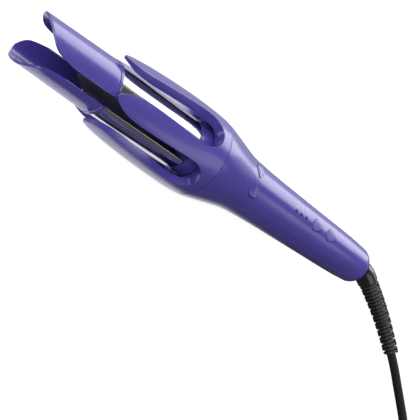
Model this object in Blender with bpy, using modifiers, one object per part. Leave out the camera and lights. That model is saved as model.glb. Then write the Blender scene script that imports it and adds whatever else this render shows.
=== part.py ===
"""An automatic hair curler: a slotted, heated barrel that turns inside a cage of five petals, on a
tapered handle with buttons, and its mains cord. It lies on a table with its buttons facing up.

Lengths are in metres. Each piece of the curler is modelled along the x axis of the curler, which
starts at the cord end and runs to the tips of the horns, with +z towards the buttons."""

import math

import bmesh
import bpy
from mathutils import Matrix, Vector
from mathutils.geometry import interpolate_bezier

# Overall sizes
OVERALL_LENGTH = 0.311
HANDLE_LENGTH = 0.166
NECK_RADIUS = 0.0266
SHELL_WALL = 0.0020
SEAT_GAP = 0.0003
RUNNING_GAP = 0.0002
OVERRUN = 0.003
MERGE_DISTANCE = 0.00001
ROUND_STEPS = 32
INNER_STEPS = 24
SMALL_STEPS = 12

# Handle outline, as (share of HANDLE_LENGTH, share of NECK_RADIUS), after the chamfered cord end
END_OPENING_RADIUS = 0.0071
END_CORNER_X = 0.0085
END_CORNER_RADIUS = 0.0125
HANDLE_OUTLINE_SHARES = (
    (0.051, 0.470), (0.148, 0.502), (0.317, 0.538), (0.482, 0.579), (0.627, 0.628), (0.753, 0.692),
    (0.810, 0.752), (0.867, 0.850), (0.925, 0.940), (0.964, 0.981), (1.0, 1.0),
)
HANDLE_STATION_SHARES = (
    0.10, 0.19, 0.317, 0.43, 0.54, 0.627, 0.70, 0.755, 0.79, 0.82, 0.85, 0.88, 0.91, 0.95, 1.0,
)
INNER_STATION_SHARES = (0.055, 0.19, 0.43, 0.627, 0.755, 0.82, 0.88, 0.95, 1.0)

# Petal cage, as (share of GUARD_LENGTH, share of NECK_RADIUS)
GUARD_LENGTH = 0.088
GUARD_WALL = 0.0023
GUARD_SEAM = 0.0003
GUARD_OUTLINE_SHARES = (
    (0.0, 1.0), (0.26, 1.004), (0.49, 0.989), (0.73, 0.940), (0.94, 0.850), (1.0, 0.822),
)
GUARD_STATION_SHARES = (0.0, 0.12, 0.26, 0.42, 0.56, 0.68, 0.78, 0.87, 0.94, 1.0)
PETALS = 5
FIRST_PETAL_ANGLE = math.radians(-22)
# Half the gap between two petals, as (share of the slot's length, share of SLOT_HALF_WIDTH)
SLOT_START = 0.0067
SLOT_HALF_WIDTH = 0.0108
SLOT_OUTLINE_SHARES = (
    (0.0, 0.0), (0.005, 0.26), (0.03, 0.60), (0.075, 0.86), (0.145, 0.99), (0.24, 1.0), (0.41, 0.92),
    (0.57, 0.85), (0.71, 0.80), (0.80, 0.79), (0.875, 0.84), (0.94, 0.98), (0.98, 1.11), (1.0, 1.22),
)
FLOOR_THICKNESS = 0.0020
SPIGOT_LENGTH = 0.0038
SPIGOT_WALL = 0.0022

# Rotor: the root collar, the two heated halves with the hair slot between them, and the horns
SLOT_WIDTH = 0.0080
ROTOR_ANGLE = math.radians(49)
BARREL_RADIUS = 0.0170
BARREL_WALL = 0.0010
BARREL_START = 0.0165
BARREL_LENGTH = 0.0690
COLLAR_RADIUS = 0.0177
COLLAR_GAP = 0.0006
COLLAR_BACK_GAP = 0.0009
HORN_BASE_RADIUS = 0.01745
HORN_ROOT_RADIUS = 0.0172
HORN_TIP_RADIUS = 0.0162
HORN_WALL = 0.0016
HORN_LIP = 0.0022
HORN_SPIGOT = 0.0038
# The rounded tongue of a horn, as (share of TONGUE_LENGTH back from the tip, share of HORN_TIP_RADIUS)
TONGUE_LENGTH = 0.034
TONGUE_OUTLINE_SHARES = (
    (0.0, 0.0), (0.008, 0.15), (0.032, 0.30), (0.070, 0.457), (0.118, 0.66), (0.18, 0.77), (0.26, 0.868),
    (0.36, 0.93), (0.50, 0.962), (0.68, 0.985), (1.0, 1.02),
)
LINER_THICKNESS = 0.0941 * BARREL_RADIUS
LINER_REACH = 0.0150
HEATER_LENGTH = 0.054
# The heater's width, as a share of BARREL_RADIUS, and its thickness, as a share of the room in a half
HEATER_WIDTH_SHARE = 1.059
HEATER_THICKNESS_SHARE = 0.297
HUB_SPIGOT = 0.0035
HUB_WALL = 0.0022
HUB_BOSS_WALL = 0.0030
WIRE_PASSAGE = 0.0024

# Shaft, bearings and drive: the plates are measured from the neck
SHAFT_RADIUS = 0.0036
SHAFT_BORE = 0.0021
END_PLAY = 0.0004
PLATE_THICKNESS = 0.0020
FRONT_PLATE_X = HANDLE_LENGTH - 0.0065
REAR_PLATE_X = FRONT_PLATE_X - 0.0135
MOTOR_PLATE_X = REAR_PLATE_X - 0.0095
REAR_BEARING_RADIUS = 0.0062
FRONT_BEARING_RADIUS = 0.0084
BEARING_LENGTH = 0.0045
BEARING_BOSS_WALL = 0.0013
GEAR_MODULE = 0.0005
GEAR_TEETH = 22
PINION_TEETH = 12
GEAR_FACE = 0.0045
GEAR_X = MOTOR_PLATE_X + 0.0028
PRESSURE_ANGLE = math.radians(20)
TOOTH_BACKLASH = 0.00012
CENTRE_ALLOWANCE = 0.00008
GEAR_ADDENDUM_SHARE = 0.88
GEAR_DEDENDUM_SHARE = 1.2
FLANK_SHARES = (0.0, 0.5, 1.0)
MOTOR_SIZE = (0.1446 * HANDLE_LENGTH, 0.0120, 0.0100)
MOTOR_SHAFT_RADIUS = 0.0015
MOTOR_EDGE = 0.0010
TIE_ROD_RADIUS = 0.0011
TIE_ROD_REACH = 0.0150
SLIP_RING_LENGTH = 0.0072
SLIP_RING_RADIUS = 0.0072
SLIP_GROOVE = 0.0007
SLIP_BANDS = 5
BRUSH_BLOCK_SIDE = 0.0050

# Controls: places are shares of HANDLE_LENGTH, and those of the keys are measured from the neck
BUTTON_LENGTH = 0.0096
BUTTON_WIDTH = 0.0073
BUTTON_PROUD = 0.0003
BUTTON_GAP = 0.00035
BUTTON_TRAVEL = 0.0006
BUTTON_FLANGE = 0.0011
BUTTON_FLANGE_RIM = 0.0008
BUTTON_STEM_RADIUS = 0.0015
POWER_BUTTON_X = 0.3976 * HANDLE_LENGTH
HEAT_BUTTON_X = 0.3048 * HANDLE_LENGTH
PICK_TAPER_SHARE = 0.34
KEY_X = HANDLE_LENGTH - 0.0370
KEY_OFFSET = 0.0063
KEY_LENGTH = 0.0078
KEY_WIDTH = 0.0070
KEY_PROUD = 0.0004
KEY_TAPER_SHARE = 0.5
LIGHT_FIRST_X = 0.4681 * HANDLE_LENGTH
LIGHT_PITCH = 0.0319 * HANDLE_LENGTH
LIGHT_RADIUS = 0.0008
LIGHTS = 3
SWITCH_SIDE = 0.0050
SWITCH_HEIGHT = 0.0028
PLUNGER_RADIUS = 0.0011
PLUNGER_HEIGHT = 0.0006
PLUNGER_CLEARANCE = 0.0009
BOARD_THICKNESS = 0.0012
# A board is its start, its end, its width and the height of its underside
MOTOR_START = MOTOR_PLATE_X - SEAT_GAP - MOTOR_SIZE[0]
MIDDLE_SCREW_X = MOTOR_START - 0.0675 * HANDLE_LENGTH
CONTROL_BOARD = (0.2651 * HANDLE_LENGTH, MIDDLE_SCREW_X - 0.0050, 0.0170, 0.0036)
POWER_BOARD = (0.2440 * HANDLE_LENGTH, MIDDLE_SCREW_X - 0.0085, 0.0170, -0.0058)
KEY_BOARD = (KEY_X - 0.0105, KEY_X + 0.0060, 0.0230, 0.0044)
POST_RADIUS = 0.0014
POST_INSET = 0.0022
KEY_POST_RADIUS = 0.0012
CAPACITOR_RADIUS = 0.0035
CAPACITOR_LENGTH = 0.0140
CAPACITOR_X = 0.3855 * HANDLE_LENGTH
TERMINAL_SIZE = (0.0080, 0.0120, 0.0060)

# Screws
SCREW_RADIUS = 0.0011
SCREW_HEAD_RADIUS = 0.0020
SCREW_HEAD_HEIGHT = 0.0014
SCREW_LENGTH = 0.0090
SCREW_CLEARANCE = 0.0003
END_SCREW_X = 0.1868 * HANDLE_LENGTH
SHELL_SCREWS = ((END_SCREW_X, 0.0068), (END_SCREW_X, -0.0068), (MIDDLE_SCREW_X, 0.0))
SHELL_SCREW_SEAT = 0.0052
TOP_BOSS_RADIUS = 0.0026
BOTTOM_BOSS_RADIUS = 0.0030
GUARD_SCREWS = 3
GUARD_SCREW_REACH = 0.0210
GUARD_SCREW_LENGTH = 0.0080
GUARD_BOSS_RADIUS = 0.0023

# Cord end
CLAMP_X = 0.0190
CLAMP_SIZE = (0.0060, 0.0156, 0.0054)
CLAMP_SCREW_OFFSET = 0.0056
CLAMP_SCREW_LENGTH = 0.0100
CLAMP_BOSS_RADIUS = 0.0019
CLAMP_SCREW_PLACES = (-CLAMP_SCREW_OFFSET, CLAMP_SCREW_OFFSET)
LEAD_END_GAP = 0.0006
CORD_RADIUS = 0.0030
RELIEF_RADIUS = 0.0065
RELIEF_COLLAR_RADIUS = 0.0059
RELIEF_TIP_RADIUS = 0.0049
RELIEF_RIB_DEPTH = 0.0009
RELIEF_FLANGE_RADIUS = 0.0084
RELIEF_FLANGE_X = 0.0066
RELIEF_FLANGE_LENGTH = 0.0018
RELIEF_COLLAR_LENGTH = 0.0115
RELIEF_RIBS = 18
GROOVE_SHARE = 0.35
CREST_SHARE = 0.85
# The route of the strain relief and of the cord, by hand, on the table's axes from below the cord end
RELIEF_ROUTE = (
    (-0.0083, 0.0030, 0.0104), (-0.0220, 0.0115, 0.0088), (-0.0334, 0.0195, 0.0074),
    (-0.0423, 0.0269, 0.0064), (-0.0490, 0.0328, 0.0057),
)
RELIEF_END_DIRECTION = (-0.733, 0.672, -0.105)
CORD_ROUTE = (
    (-0.0602, 0.0437, 0.0044), (-0.0687, 0.0532, 0.0034), (-0.0763, 0.0628, 0.0031),
    (-0.0835, 0.0727, 0.0031), (-0.0896, 0.0838, 0.0031), (-0.0938, 0.0955, 0.0031),
)
CORD_FLOOR = 0.0031
CORD_STEP_SHARE = 2.2
COIL_CENTRE = (-0.0600, 0.1300)
COIL_MIDDLE_RADIUS = 0.0316
COIL_PITCH = 0.0066
COIL_LAYER = 0.0066
COIL_LAYERS = 4
COIL_TURNS = 8.36
COIL_POINTS = 24
COIL_START_ANGLE = math.radians(190)
TAIL_ROUTE = ((-0.0260, 0.1585, 0.0195),)
PLUG_PLACE = (0.0020, 0.1540)
PLUG_ANGLE = math.radians(1)
PLUG_BODY = (0.0370, 0.0353, 0.0137)
PLUG_EDGE = 0.0028
PLUG_NECK_LENGTH = 0.0110
PLUG_NECK_END_RADIUS = 0.0036
PLUG_NECK_RADIUS = 0.0048
PLUG_PIN_RADIUS = 0.0020
PLUG_PIN_LENGTH = 0.0190
PLUG_PIN_SPACING = 0.0190
HERE = (0.0, 0.0, 0.0)


def clear_scene():
    for item in list(bpy.data.objects):
        bpy.data.objects.remove(item, do_unlink=True)


def new_collection(name, hidden=False):
    collection = bpy.data.collections.new(name)
    bpy.context.scene.collection.children.link(collection)
    collection.hide_render = hidden
    return collection


def new_empty(name, parent=None):
    empty = bpy.data.objects.new(name, None)
    PARTS.objects.link(empty)
    empty.parent = parent
    return empty


def finish(name, colour, roughness, metallic=0.0):
    made = bpy.data.materials.new(name)
    made.use_nodes = True
    shader = made.node_tree.nodes["Principled BSDF"]
    shader.inputs["Base Color"].default_value = (*colour, 1.0)
    shader.inputs["Roughness"].default_value = roughness
    shader.inputs["Metallic"].default_value = metallic
    made.diffuse_color = (*colour, 1.0)
    return made


def place(name, mesh, material, parent, location=HERE, rotation=HERE):
    """An object for the mesh: a part where it has a material, and otherwise a cutter."""
    made = bpy.data.objects.new(name, mesh)
    (PARTS if material else CUTTERS).objects.link(made)
    if material:
        mesh.materials.append(material)
    else:
        made.hide_render = True
        made.display_type = "WIRE"
    made.parent = parent
    made.location = location
    made.rotation_euler = rotation
    return made


def mesh_from(name, shape):
    mesh = bpy.data.meshes.new(name)
    shape.to_mesh(mesh)
    shape.free()
    mesh.shade_smooth()
    mesh.set_sharp_from_angle(angle=math.radians(35))
    return mesh


def smooth_value(table, place_share):
    """The smooth curve through a table of shares, at one place along it."""
    places = [row[0] for row in table]
    values = [row[1] for row in table]
    last = len(table) - 1
    if place_share <= places[0]:
        return values[0]
    if place_share >= places[last]:
        return values[last]
    i = max(k for k in range(last) if places[k] <= place_share)

    def slope(k):
        low, high = max(k - 1, 0), min(k + 1, last)
        return (values[high] - values[low]) / (places[high] - places[low])

    span = places[i + 1] - places[i]
    t = (place_share - places[i]) / span
    return (
        (1 + 2 * t) * (1 - t) ** 2 * values[i] + t * (1 - t) ** 2 * span * slope(i)
        + t * t * (3 - 2 * t) * values[i + 1] + t * t * (t - 1) * span * slope(i + 1)
    )


def handle_radius(x):
    if x < END_CORNER_X:
        return END_OPENING_RADIUS + (END_CORNER_RADIUS - END_OPENING_RADIUS) * x / END_CORNER_X
    return NECK_RADIUS * smooth_value(HANDLE_OUTLINE_SHARES, x / HANDLE_LENGTH)


def inner_radius(x):
    """The radius of the handle's hollow, which runs straight between its stations."""
    places = [share * HANDLE_LENGTH for share in INNER_STATION_SHARES]
    k = sum(place < x for place in places[1:-1])
    low, high = handle_radius(places[k]), handle_radius(places[k + 1])
    return low + (high - low) * (x - places[k]) / (places[k + 1] - places[k]) - SHELL_WALL


def guard_radius(share):
    return NECK_RADIUS * smooth_value(GUARD_OUTLINE_SHARES, share)


def turned(name, profile, material, parent, closed=True, steps=ROUND_STEPS):
    """Turns (x, radius) points about the x axis. A closed profile makes a ring, an open one a solid."""
    area = sum(a[0] * b[1] - b[0] * a[1] for a, b in zip(profile, profile[1:] + profile[:1]))
    if area < 0:
        profile = profile[::-1]
    mesh = bpy.data.meshes.new(name)
    count = len(profile)
    edges = [(i, i + 1) for i in range(count - 1)] + ([(count - 1, 0)] if closed else [])
    mesh.from_pydata([(x, 0.0, radius) for x, radius in profile], edges, [])
    made = place(name, mesh, material, parent)
    screw = made.modifiers.new("turn", "SCREW")
    screw.axis = "X"
    screw.steps = screw.render_steps = steps
    screw.use_merge_vertices = True
    screw.merge_threshold = MERGE_DISTANCE
    screw.use_normal_flip = False
    return made


def cylinder(name, radius, length, material, parent, location, along="Z", sides=SMALL_STEPS, end=None):
    """A cylinder, or a cone with another radius at its end, that stands at location along an axis."""
    shape = bmesh.new()
    end = radius if end is None else end
    bmesh.ops.create_cone(shape, cap_ends=True, segments=sides, radius1=radius, radius2=end, depth=length)
    bmesh.ops.rotate(shape, verts=shape.verts, matrix=Matrix.Rotation(math.pi / sides, 3, "Z"))
    bmesh.ops.translate(shape, verts=shape.verts, vec=(0.0, 0.0, length / 2))
    turn = {"Z": (0.0, 0.0, 0.0), "X": (0.0, math.pi / 2, 0.0), "-Z": (math.pi, 0.0, 0.0)}[along]
    return place(name, mesh_from(name, shape), material, parent, location, turn)


def block(name, low, high, material, parent, bevel=0.0, rotation=HERE):
    """A box between two corners, its edges rounded by bevel."""
    shape = bmesh.new()
    bmesh.ops.create_cube(shape, size=1.0)
    size = [b - a for a, b in zip(low, high)]
    bmesh.ops.scale(shape, verts=shape.verts, vec=size)
    bmesh.ops.translate(shape, verts=shape.verts, vec=[(a + b) / 2 for a, b in zip(low, high)])
    made = place(name, mesh_from(name, shape), material, parent, rotation=rotation)
    if bevel:
        rounding = made.modifiers.new("edges", "BEVEL")
        rounding.width = bevel
        rounding.segments = 2
    return made


def prism(name, outline, low, high, material, parent, location=HERE, rotation=HERE, hole=()):
    """A flat outline, with a hole where one is given, extruded along its own z from low to high."""
    flat = bpy.data.curves.new(name, "CURVE")
    flat.dimensions = "2D"
    flat.fill_mode = "BOTH"
    flat.extrude = (high - low) / 2
    for ring in (outline, hole):
        if not ring:
            continue
        spline = flat.splines.new("POLY")
        spline.points.add(len(ring) - 1)
        for point, (x, y) in zip(spline.points, ring):
            point.co = (x, y, 0.0, 1.0)
        spline.use_cyclic_u = True
    guide = bpy.data.objects.new(name, flat)
    CUTTERS.objects.link(guide)
    bpy.context.view_layer.update()
    graph = bpy.context.evaluated_depsgraph_get()
    made = bpy.data.meshes.new_from_object(guide.evaluated_get(graph))
    bpy.data.objects.remove(guide, do_unlink=True)
    shape = bmesh.new()
    shape.from_mesh(made)
    bpy.data.meshes.remove(made)
    bmesh.ops.remove_doubles(shape, verts=shape.verts, dist=MERGE_DISTANCE)
    bmesh.ops.translate(shape, verts=shape.verts, vec=(0.0, 0.0, (low + high) / 2))
    bmesh.ops.recalc_face_normals(shape, faces=shape.faces)
    return place(name, mesh_from(name, shape), material, parent, location, rotation)


def boolean(target, other, operation="DIFFERENCE"):
    step = target.modifiers.new(other.name, "BOOLEAN")
    step.operation = operation
    step.object = other
    step.solver = "EXACT"


def cut(target, *cutters):
    for cutter in cutters:
        boolean(target, cutter)


def join(target, *others):
    for other in others:
        boolean(target, other, "UNION")


def egg(length, width, taper_share, grow=0.0, count=16):
    """A rounded triangle, wide at +x and narrow at -x, grown all round by grow."""
    points = []
    for k in range(count):
        t = 2 * math.pi * (k + 0.5) / count
        x = (length / 2 + grow) * math.cos(t)
        y = (width / 2 + grow) * math.sin(t) * (1 + taper_share * math.cos(t))
        points.append((x, y))
    return points


def circle(radius, count=ROUND_STEPS):
    angles = [2 * math.pi * k / count for k in range(count)]
    return [(radius * math.cos(a), radius * math.sin(a)) for a in angles]


def involute(angle):
    return math.tan(angle) - angle


def gear_outline(teeth, module):
    """Involute teeth, with a tooth centred on +y."""
    pitch = teeth * module / 2
    base = pitch * math.cos(PRESSURE_ANGLE)
    tip = pitch + GEAR_ADDENDUM_SHARE * module
    root = pitch - GEAR_DEDENDUM_SHARE * module
    start = max(base, root)
    half_tooth = math.pi / (2 * teeth) - TOOTH_BACKLASH / (2 * pitch)
    flank = []
    for share in FLANK_SHARES:
        radius = start + (tip - start) * share
        angle = half_tooth + involute(PRESSURE_ANGLE) - involute(math.acos(base / radius))
        flank.append((radius, angle))
    foot = flank[0][1]
    rising = [(root, -foot)] + [(radius, -angle) for radius, angle in flank]
    falling = [(radius, angle) for radius, angle in flank[::-1]] + [(root, foot)]
    points = []
    for k in range(teeth):
        centre = math.pi / 2 + 2 * math.pi * k / teeth
        points += [(r * math.cos(centre + a), r * math.sin(centre + a)) for r, a in rising + falling]
    return points


ACROSS = (math.pi / 2, 0.0, math.pi / 2)
GEAR_CENTRES = GEAR_MODULE * (GEAR_TEETH + PINION_TEETH) / 2 + CENTRE_ALLOWANCE
GUARD_START = HANDLE_LENGTH + GUARD_SEAM
SLOT_BOTTOM = GUARD_START + SLOT_START
BARREL_X = HANDLE_LENGTH + BARREL_START
HORN_X = BARREL_X + BARREL_LENGTH
HALF_SLOT = SLOT_WIDTH / 2
# The handle's end and neck both rest on the table, so the axis climbs a little towards the horns
TILT = math.atan((NECK_RADIUS - END_CORNER_RADIUS) / (HANDLE_LENGTH - END_CORNER_X))
AXIS_HEIGHT = END_CORNER_RADIUS * math.cos(TILT) - END_CORNER_X * math.sin(TILT)
# The table's origin lies below the middle of the curler
LEFT_EDGE = -END_OPENING_RADIUS * math.sin(TILT)
TIP_DROP = HORN_TIP_RADIUS * math.cos(ROTOR_ANGLE)
RIGHT_EDGE = OVERALL_LENGTH * math.cos(TILT) + TIP_DROP * math.sin(TILT)
TABLE_SHIFT = (LEFT_EDGE + RIGHT_EDGE) / 2
MOTOR_PLATE_END = MOTOR_PLATE_X + PLATE_THICKNESS
REAR_BOSS_END = REAR_PLATE_X + PLATE_THICKNESS + BEARING_LENGTH / 2
FRONT_BEARING_END = FRONT_PLATE_X + BEARING_LENGTH
SHAFT_START = MOTOR_PLATE_END + END_PLAY
HUB_WEB = BARREL_X - HUB_SPIGOT
SHAFT_END = HUB_WEB - WIRE_PASSAGE
LEAD_START = RELIEF_FLANGE_X + RELIEF_FLANGE_LENGTH + 2 * SEAT_GAP


def on_table(x, y, z):
    """A place given on the curler's own axes, on the table's axes."""
    return Vector((
        x * math.cos(TILT) - z * math.sin(TILT) - TABLE_SHIFT,
        y,
        x * math.sin(TILT) + z * math.cos(TILT) + AXIS_HEIGHT,
    ))


def from_cord_end(x, y, z):
    """A place on the table, given from the point below the cord end."""
    return Vector((x - TABLE_SHIFT, y, z))


def screw_piece(name, parent, location, rotation, length, material):
    """A pan-head screw whose head sits on location and whose shank runs along its own -x."""
    rim = SCREW_HEAD_HEIGHT / 2
    profile = [
        (-length, 0.0), (SCREW_RADIUS - length, SCREW_RADIUS), (0.0, SCREW_RADIUS),
        (0.0, SCREW_HEAD_RADIUS), (rim, SCREW_HEAD_RADIUS), (SCREW_HEAD_HEIGHT, SCREW_RADIUS),
        (SCREW_HEAD_HEIGHT, 0.0),
    ]
    holder = new_empty(name + "_seat", parent)
    holder.location = location
    holder.rotation_euler = rotation
    return turned(name, profile, material, holder, closed=False, steps=10)


def shell_half(name, side):
    """One half of the handle. side is 1 for the half with the buttons and -1 for the other."""
    stations = [share * HANDLE_LENGTH for share in HANDLE_STATION_SHARES]
    outer = [(0.0, 0.0), (0.0, END_OPENING_RADIUS), (END_CORNER_X, END_CORNER_RADIUS)]
    outer += [(x, handle_radius(x)) for x in stations]
    shell = turned(name, outer + [(HANDLE_LENGTH, 0.0)], VIOLET, AXIS, closed=False)
    far = max(HANDLE_LENGTH, NECK_RADIUS) + OVERRUN
    low = (-OVERRUN, -far, -far if side > 0 else -SEAT_GAP / 2)
    high = (far, far, SEAT_GAP / 2 if side > 0 else far)
    cut(shell, block(name + "_other_side", low, high, None, AXIS))
    cut(shell, handle_cavity(name, side))
    return shell


def handle_cavity(name, side):
    """The hollow of one shell half, with the bosses and posts standing in it taken out."""
    hole = RELIEF_RADIUS + SEAT_GAP
    behind = RELIEF_FLANGE_X - SEAT_GAP
    deep = behind + RELIEF_FLANGE_LENGTH + SHELL_WALL
    profile = [
        (-OVERRUN, 0.0), (-OVERRUN, hole), (behind - SHELL_WALL, hole),
        (behind, RELIEF_FLANGE_RADIUS + SEAT_GAP), (deep, inner_radius(deep) - SEAT_GAP),
    ]
    inside = [share * HANDLE_LENGTH for share in INNER_STATION_SHARES[1:-1]]
    profile += [(x, inner_radius(x)) for x in inside]
    profile += [(HANDLE_LENGTH + OVERRUN, inner_radius(HANDLE_LENGTH)), (HANDLE_LENGTH + OVERRUN, 0.0)]
    cavity = turned(name + "_hollow", profile, None, AXIS, closed=False)

    along = "Z" if side > 0 else "-Z"
    radius = TOP_BOSS_RADIUS if side > 0 else BOTTOM_BOSS_RADIUS
    posts = [(x, y, side * SEAT_GAP, radius, 12) for x, y in SHELL_SCREWS]
    if side > 0:
        posts += [(x, y, board_top(CONTROL_BOARD), POST_RADIUS, 8) for x, y in post_places(CONTROL_BOARD)]
        posts += [(x, y, board_top(KEY_BOARD), POST_RADIUS, 8) for x, y in post_places(KEY_BOARD)[:2]]
        posts.append((KEY_X, 0.0, board_top(KEY_BOARD), KEY_POST_RADIUS, 8))
    else:
        foot = POWER_BOARD[3] - SEAT_GAP
        posts += [(x, y, foot, POST_RADIUS, 8) for x, y in post_places(POWER_BOARD)]
        posts += [(CLAMP_X, y, -2 * SEAT_GAP, CLAMP_BOSS_RADIUS, 10) for y in CLAMP_SCREW_PLACES]
        half = CLAMP_SIZE[0] / 4
        low = (CLAMP_X - half, -CLAMP_SCREW_OFFSET, -NECK_RADIUS)
        high = (CLAMP_X + half, CLAMP_SCREW_OFFSET, -CORD_RADIUS - SEAT_GAP)
        cut(cavity, block(name + "_saddle", low, high, None, AXIS))
    for k, (x, y, foot, radius, sides) in enumerate(posts):
        post = cylinder(f"{name}_post_{k}", radius, NECK_RADIUS, None, AXIS, (x, y, foot), along, sides)
        cut(cavity, post)
    return cavity


def board_top(board):
    return board[3] + BOARD_THICKNESS + SEAT_GAP


def post_places(board):
    start, end, width, _ = board
    side = width / 2 - POST_INSET
    return [(x, y) for x in (start + POST_INSET, end - POST_INSET) for y in (-side, side)]


def handle_shells():
    top = shell_half("handle_top_shell", 1)
    bottom = shell_half("handle_bottom_shell", -1)
    pilot = SCREW_RADIUS + SCREW_CLEARANCE
    depth = SCREW_LENGTH + OVERRUN
    head = SCREW_HEAD_RADIUS + SCREW_CLEARANCE
    for k, (x, y) in enumerate(SHELL_SCREWS):
        foot = (x, y, -SHELL_SCREW_SEAT - OVERRUN)
        cut(top, cylinder(f"top_pilot_{k}", pilot, depth + SCREW_CLEARANCE, None, AXIS, foot, "Z", 12))
        cut(bottom, cylinder(f"bottom_pilot_{k}", pilot, depth, None, AXIS, foot, "Z", 12))
        seat = (x, y, -SHELL_SCREW_SEAT)
        cut(bottom, cylinder(f"head_pocket_{k}", head, NECK_RADIUS, None, AXIS, seat, "-Z", 12))
        spot = (x, y, -SHELL_SCREW_SEAT - SEAT_GAP)
        screw_piece(f"shell_screw_{k + 1}", AXIS, spot, (0.0, math.pi / 2, 0.0), SCREW_LENGTH, STEEL)
    for k, y in enumerate(CLAMP_SCREW_PLACES):
        foot = (CLAMP_X, y, -CLAMP_SCREW_LENGTH + CLAMP_SIZE[2] - SEAT_GAP)
        cut(bottom, cylinder(f"clamp_pilot_{k}", pilot, CLAMP_SCREW_LENGTH, None, AXIS, foot, "Z", 12))
    for name, x in (("power", POWER_BUTTON_X), ("heat", HEAT_BUTTON_X)):
        hole = egg(BUTTON_LENGTH, BUTTON_WIDTH, PICK_TAPER_SHARE, BUTTON_GAP)
        cut(top, prism(name + "_hole", hole, 0.0, NECK_RADIUS + OVERRUN, None, AXIS, (x, 0.0, 0.0)))
    for name, side in (("left", 1), ("right", -1)):
        hole = egg(KEY_LENGTH, KEY_WIDTH, KEY_TAPER_SHARE, BUTTON_GAP)
        spot = (KEY_X, side * KEY_OFFSET, 0.0)
        turn = (0.0, 0.0, side * math.pi / 2)
        cut(top, prism(name + "_key_hole", hole, 0.0, NECK_RADIUS + OVERRUN, None, AXIS, spot, turn))
    for k in range(LIGHTS):
        spot = (LIGHT_FIRST_X + k * LIGHT_PITCH, 0.0, 0.0)
        hole = LIGHT_RADIUS + SEAT_GAP
        cut(top, cylinder(f"light_hole_{k}", hole, NECK_RADIUS + OVERRUN, None, AXIS, spot, "Z", 10))


def skin(name, offset):
    """A solid the shape of the handle's outside, grown by offset, that domes the buttons."""
    stations = [share * HANDLE_LENGTH for share in HANDLE_STATION_SHARES]
    profile = [(x, handle_radius(x) + offset) for x in stations]
    profile = [(stations[0], 0.0)] + profile + [(stations[-1], 0.0)]
    return turned(name, profile, None, AXIS, closed=False)


def button(name, spot, size, taper_share, skins, floor, board, turn=0.0):
    """A cap that follows the handle's skin, with a flange behind the shell and a stem over its switch."""
    top = NECK_RADIUS + OVERRUN
    rotation = (0.0, 0.0, turn)
    outline = egg(*size, taper_share)
    cap = prism(name, outline, floor + BUTTON_FLANGE, top, VIOLET, AXIS, spot, rotation)
    boolean(cap, skins[0], "INTERSECT")
    wide = egg(*size, taper_share, BUTTON_FLANGE_RIM)
    flange = prism(name + "_flange", wide, floor, top, None, AXIS, spot, rotation)
    boolean(flange, skins[1], "INTERSECT")
    join(cap, flange)
    stem_foot = board_top(board) + SWITCH_HEIGHT + PLUNGER_HEIGHT + PLUNGER_CLEARANCE
    length = max(floor + BUTTON_FLANGE / 2 - stem_foot, BUTTON_FLANGE)
    foot = (spot[0], spot[1], stem_foot)
    join(cap, cylinder(name + "_stem", BUTTON_STEM_RADIUS, length, None, AXIS, foot, "Z", 10))


def controls():
    flange_skin = skin("flange_skin", -SHELL_WALL - SEAT_GAP)
    skins = (skin("button_skin", BUTTON_PROUD), flange_skin)
    size = (BUTTON_LENGTH, BUTTON_WIDTH)
    for name, x in (("power", POWER_BUTTON_X), ("heat", HEAT_BUTTON_X)):
        floor = inner_radius(x) - 2 * SEAT_GAP - BUTTON_FLANGE
        spot = (x, 0.0, 0.0)
        button(name + "_button", spot, size, PICK_TAPER_SHARE, skins, floor, CONTROL_BOARD)
        tact_switch(name + "_switch", x, 0.0, CONTROL_BOARD)
    skins = (skin("key_skin", KEY_PROUD), flange_skin)
    size = (KEY_LENGTH, KEY_WIDTH)
    reach = KEY_OFFSET + KEY_LENGTH / 2
    inside = inner_radius(KEY_X - KEY_WIDTH / 2) - SEAT_GAP
    floor = math.sqrt(inside**2 - reach**2) - BUTTON_FLANGE
    for name, side in (("left", 1), ("right", -1)):
        spot = (KEY_X, side * KEY_OFFSET, 0.0)
        turn = side * math.pi / 2
        button(name + "_key", spot, size, KEY_TAPER_SHARE, skins, floor, KEY_BOARD, turn)
        tact_switch(name + "_switch", KEY_X, side * KEY_OFFSET, KEY_BOARD)
    for k in range(LIGHTS):
        x = LIGHT_FIRST_X + k * LIGHT_PITCH
        foot = board_top(CONTROL_BOARD)
        length = handle_radius(x) - foot
        cylinder(f"light_pipe_{k + 1}", LIGHT_RADIUS, length, CLEAR, AXIS, (x, 0.0, foot), "Z", 10)


def tact_switch(name, x, y, board):
    floor = board_top(board)
    half = SWITCH_SIDE / 2
    low, high = (x - half, y - half, floor), (x + half, y + half, floor + SWITCH_HEIGHT)
    body = block(name, low, high, BLACK, AXIS)
    foot = (x, y, floor + SWITCH_HEIGHT / 2)
    length = SWITCH_HEIGHT / 2 + PLUNGER_HEIGHT
    join(body, cylinder(name + "_plunger", PLUNGER_RADIUS, length, None, AXIS, foot, "Z", 10))


def boards():
    for name, board in (("control", CONTROL_BOARD), ("power", POWER_BOARD), ("key", KEY_BOARD)):
        start, end, width, low = board
        high = (end, width / 2, low + BOARD_THICKNESS)
        block(name + "_board", (start, -width / 2, low), high, GREEN, AXIS)
    floor = board_top(POWER_BOARD)
    centre = floor + CAPACITOR_RADIUS
    cylinder("capacitor", CAPACITOR_RADIUS, CAPACITOR_LENGTH, BLUE, AXIS, (CAPACITOR_X, 0.0, centre), "X")
    length, width, height = TERMINAL_SIZE
    start = POWER_BOARD[0] + SEAT_GAP
    low, high = (start, -width / 2, floor), (start + length, width / 2, floor + height)
    block("terminal_block", low, high, WHITE, AXIS, SEAT_GAP)


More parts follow.
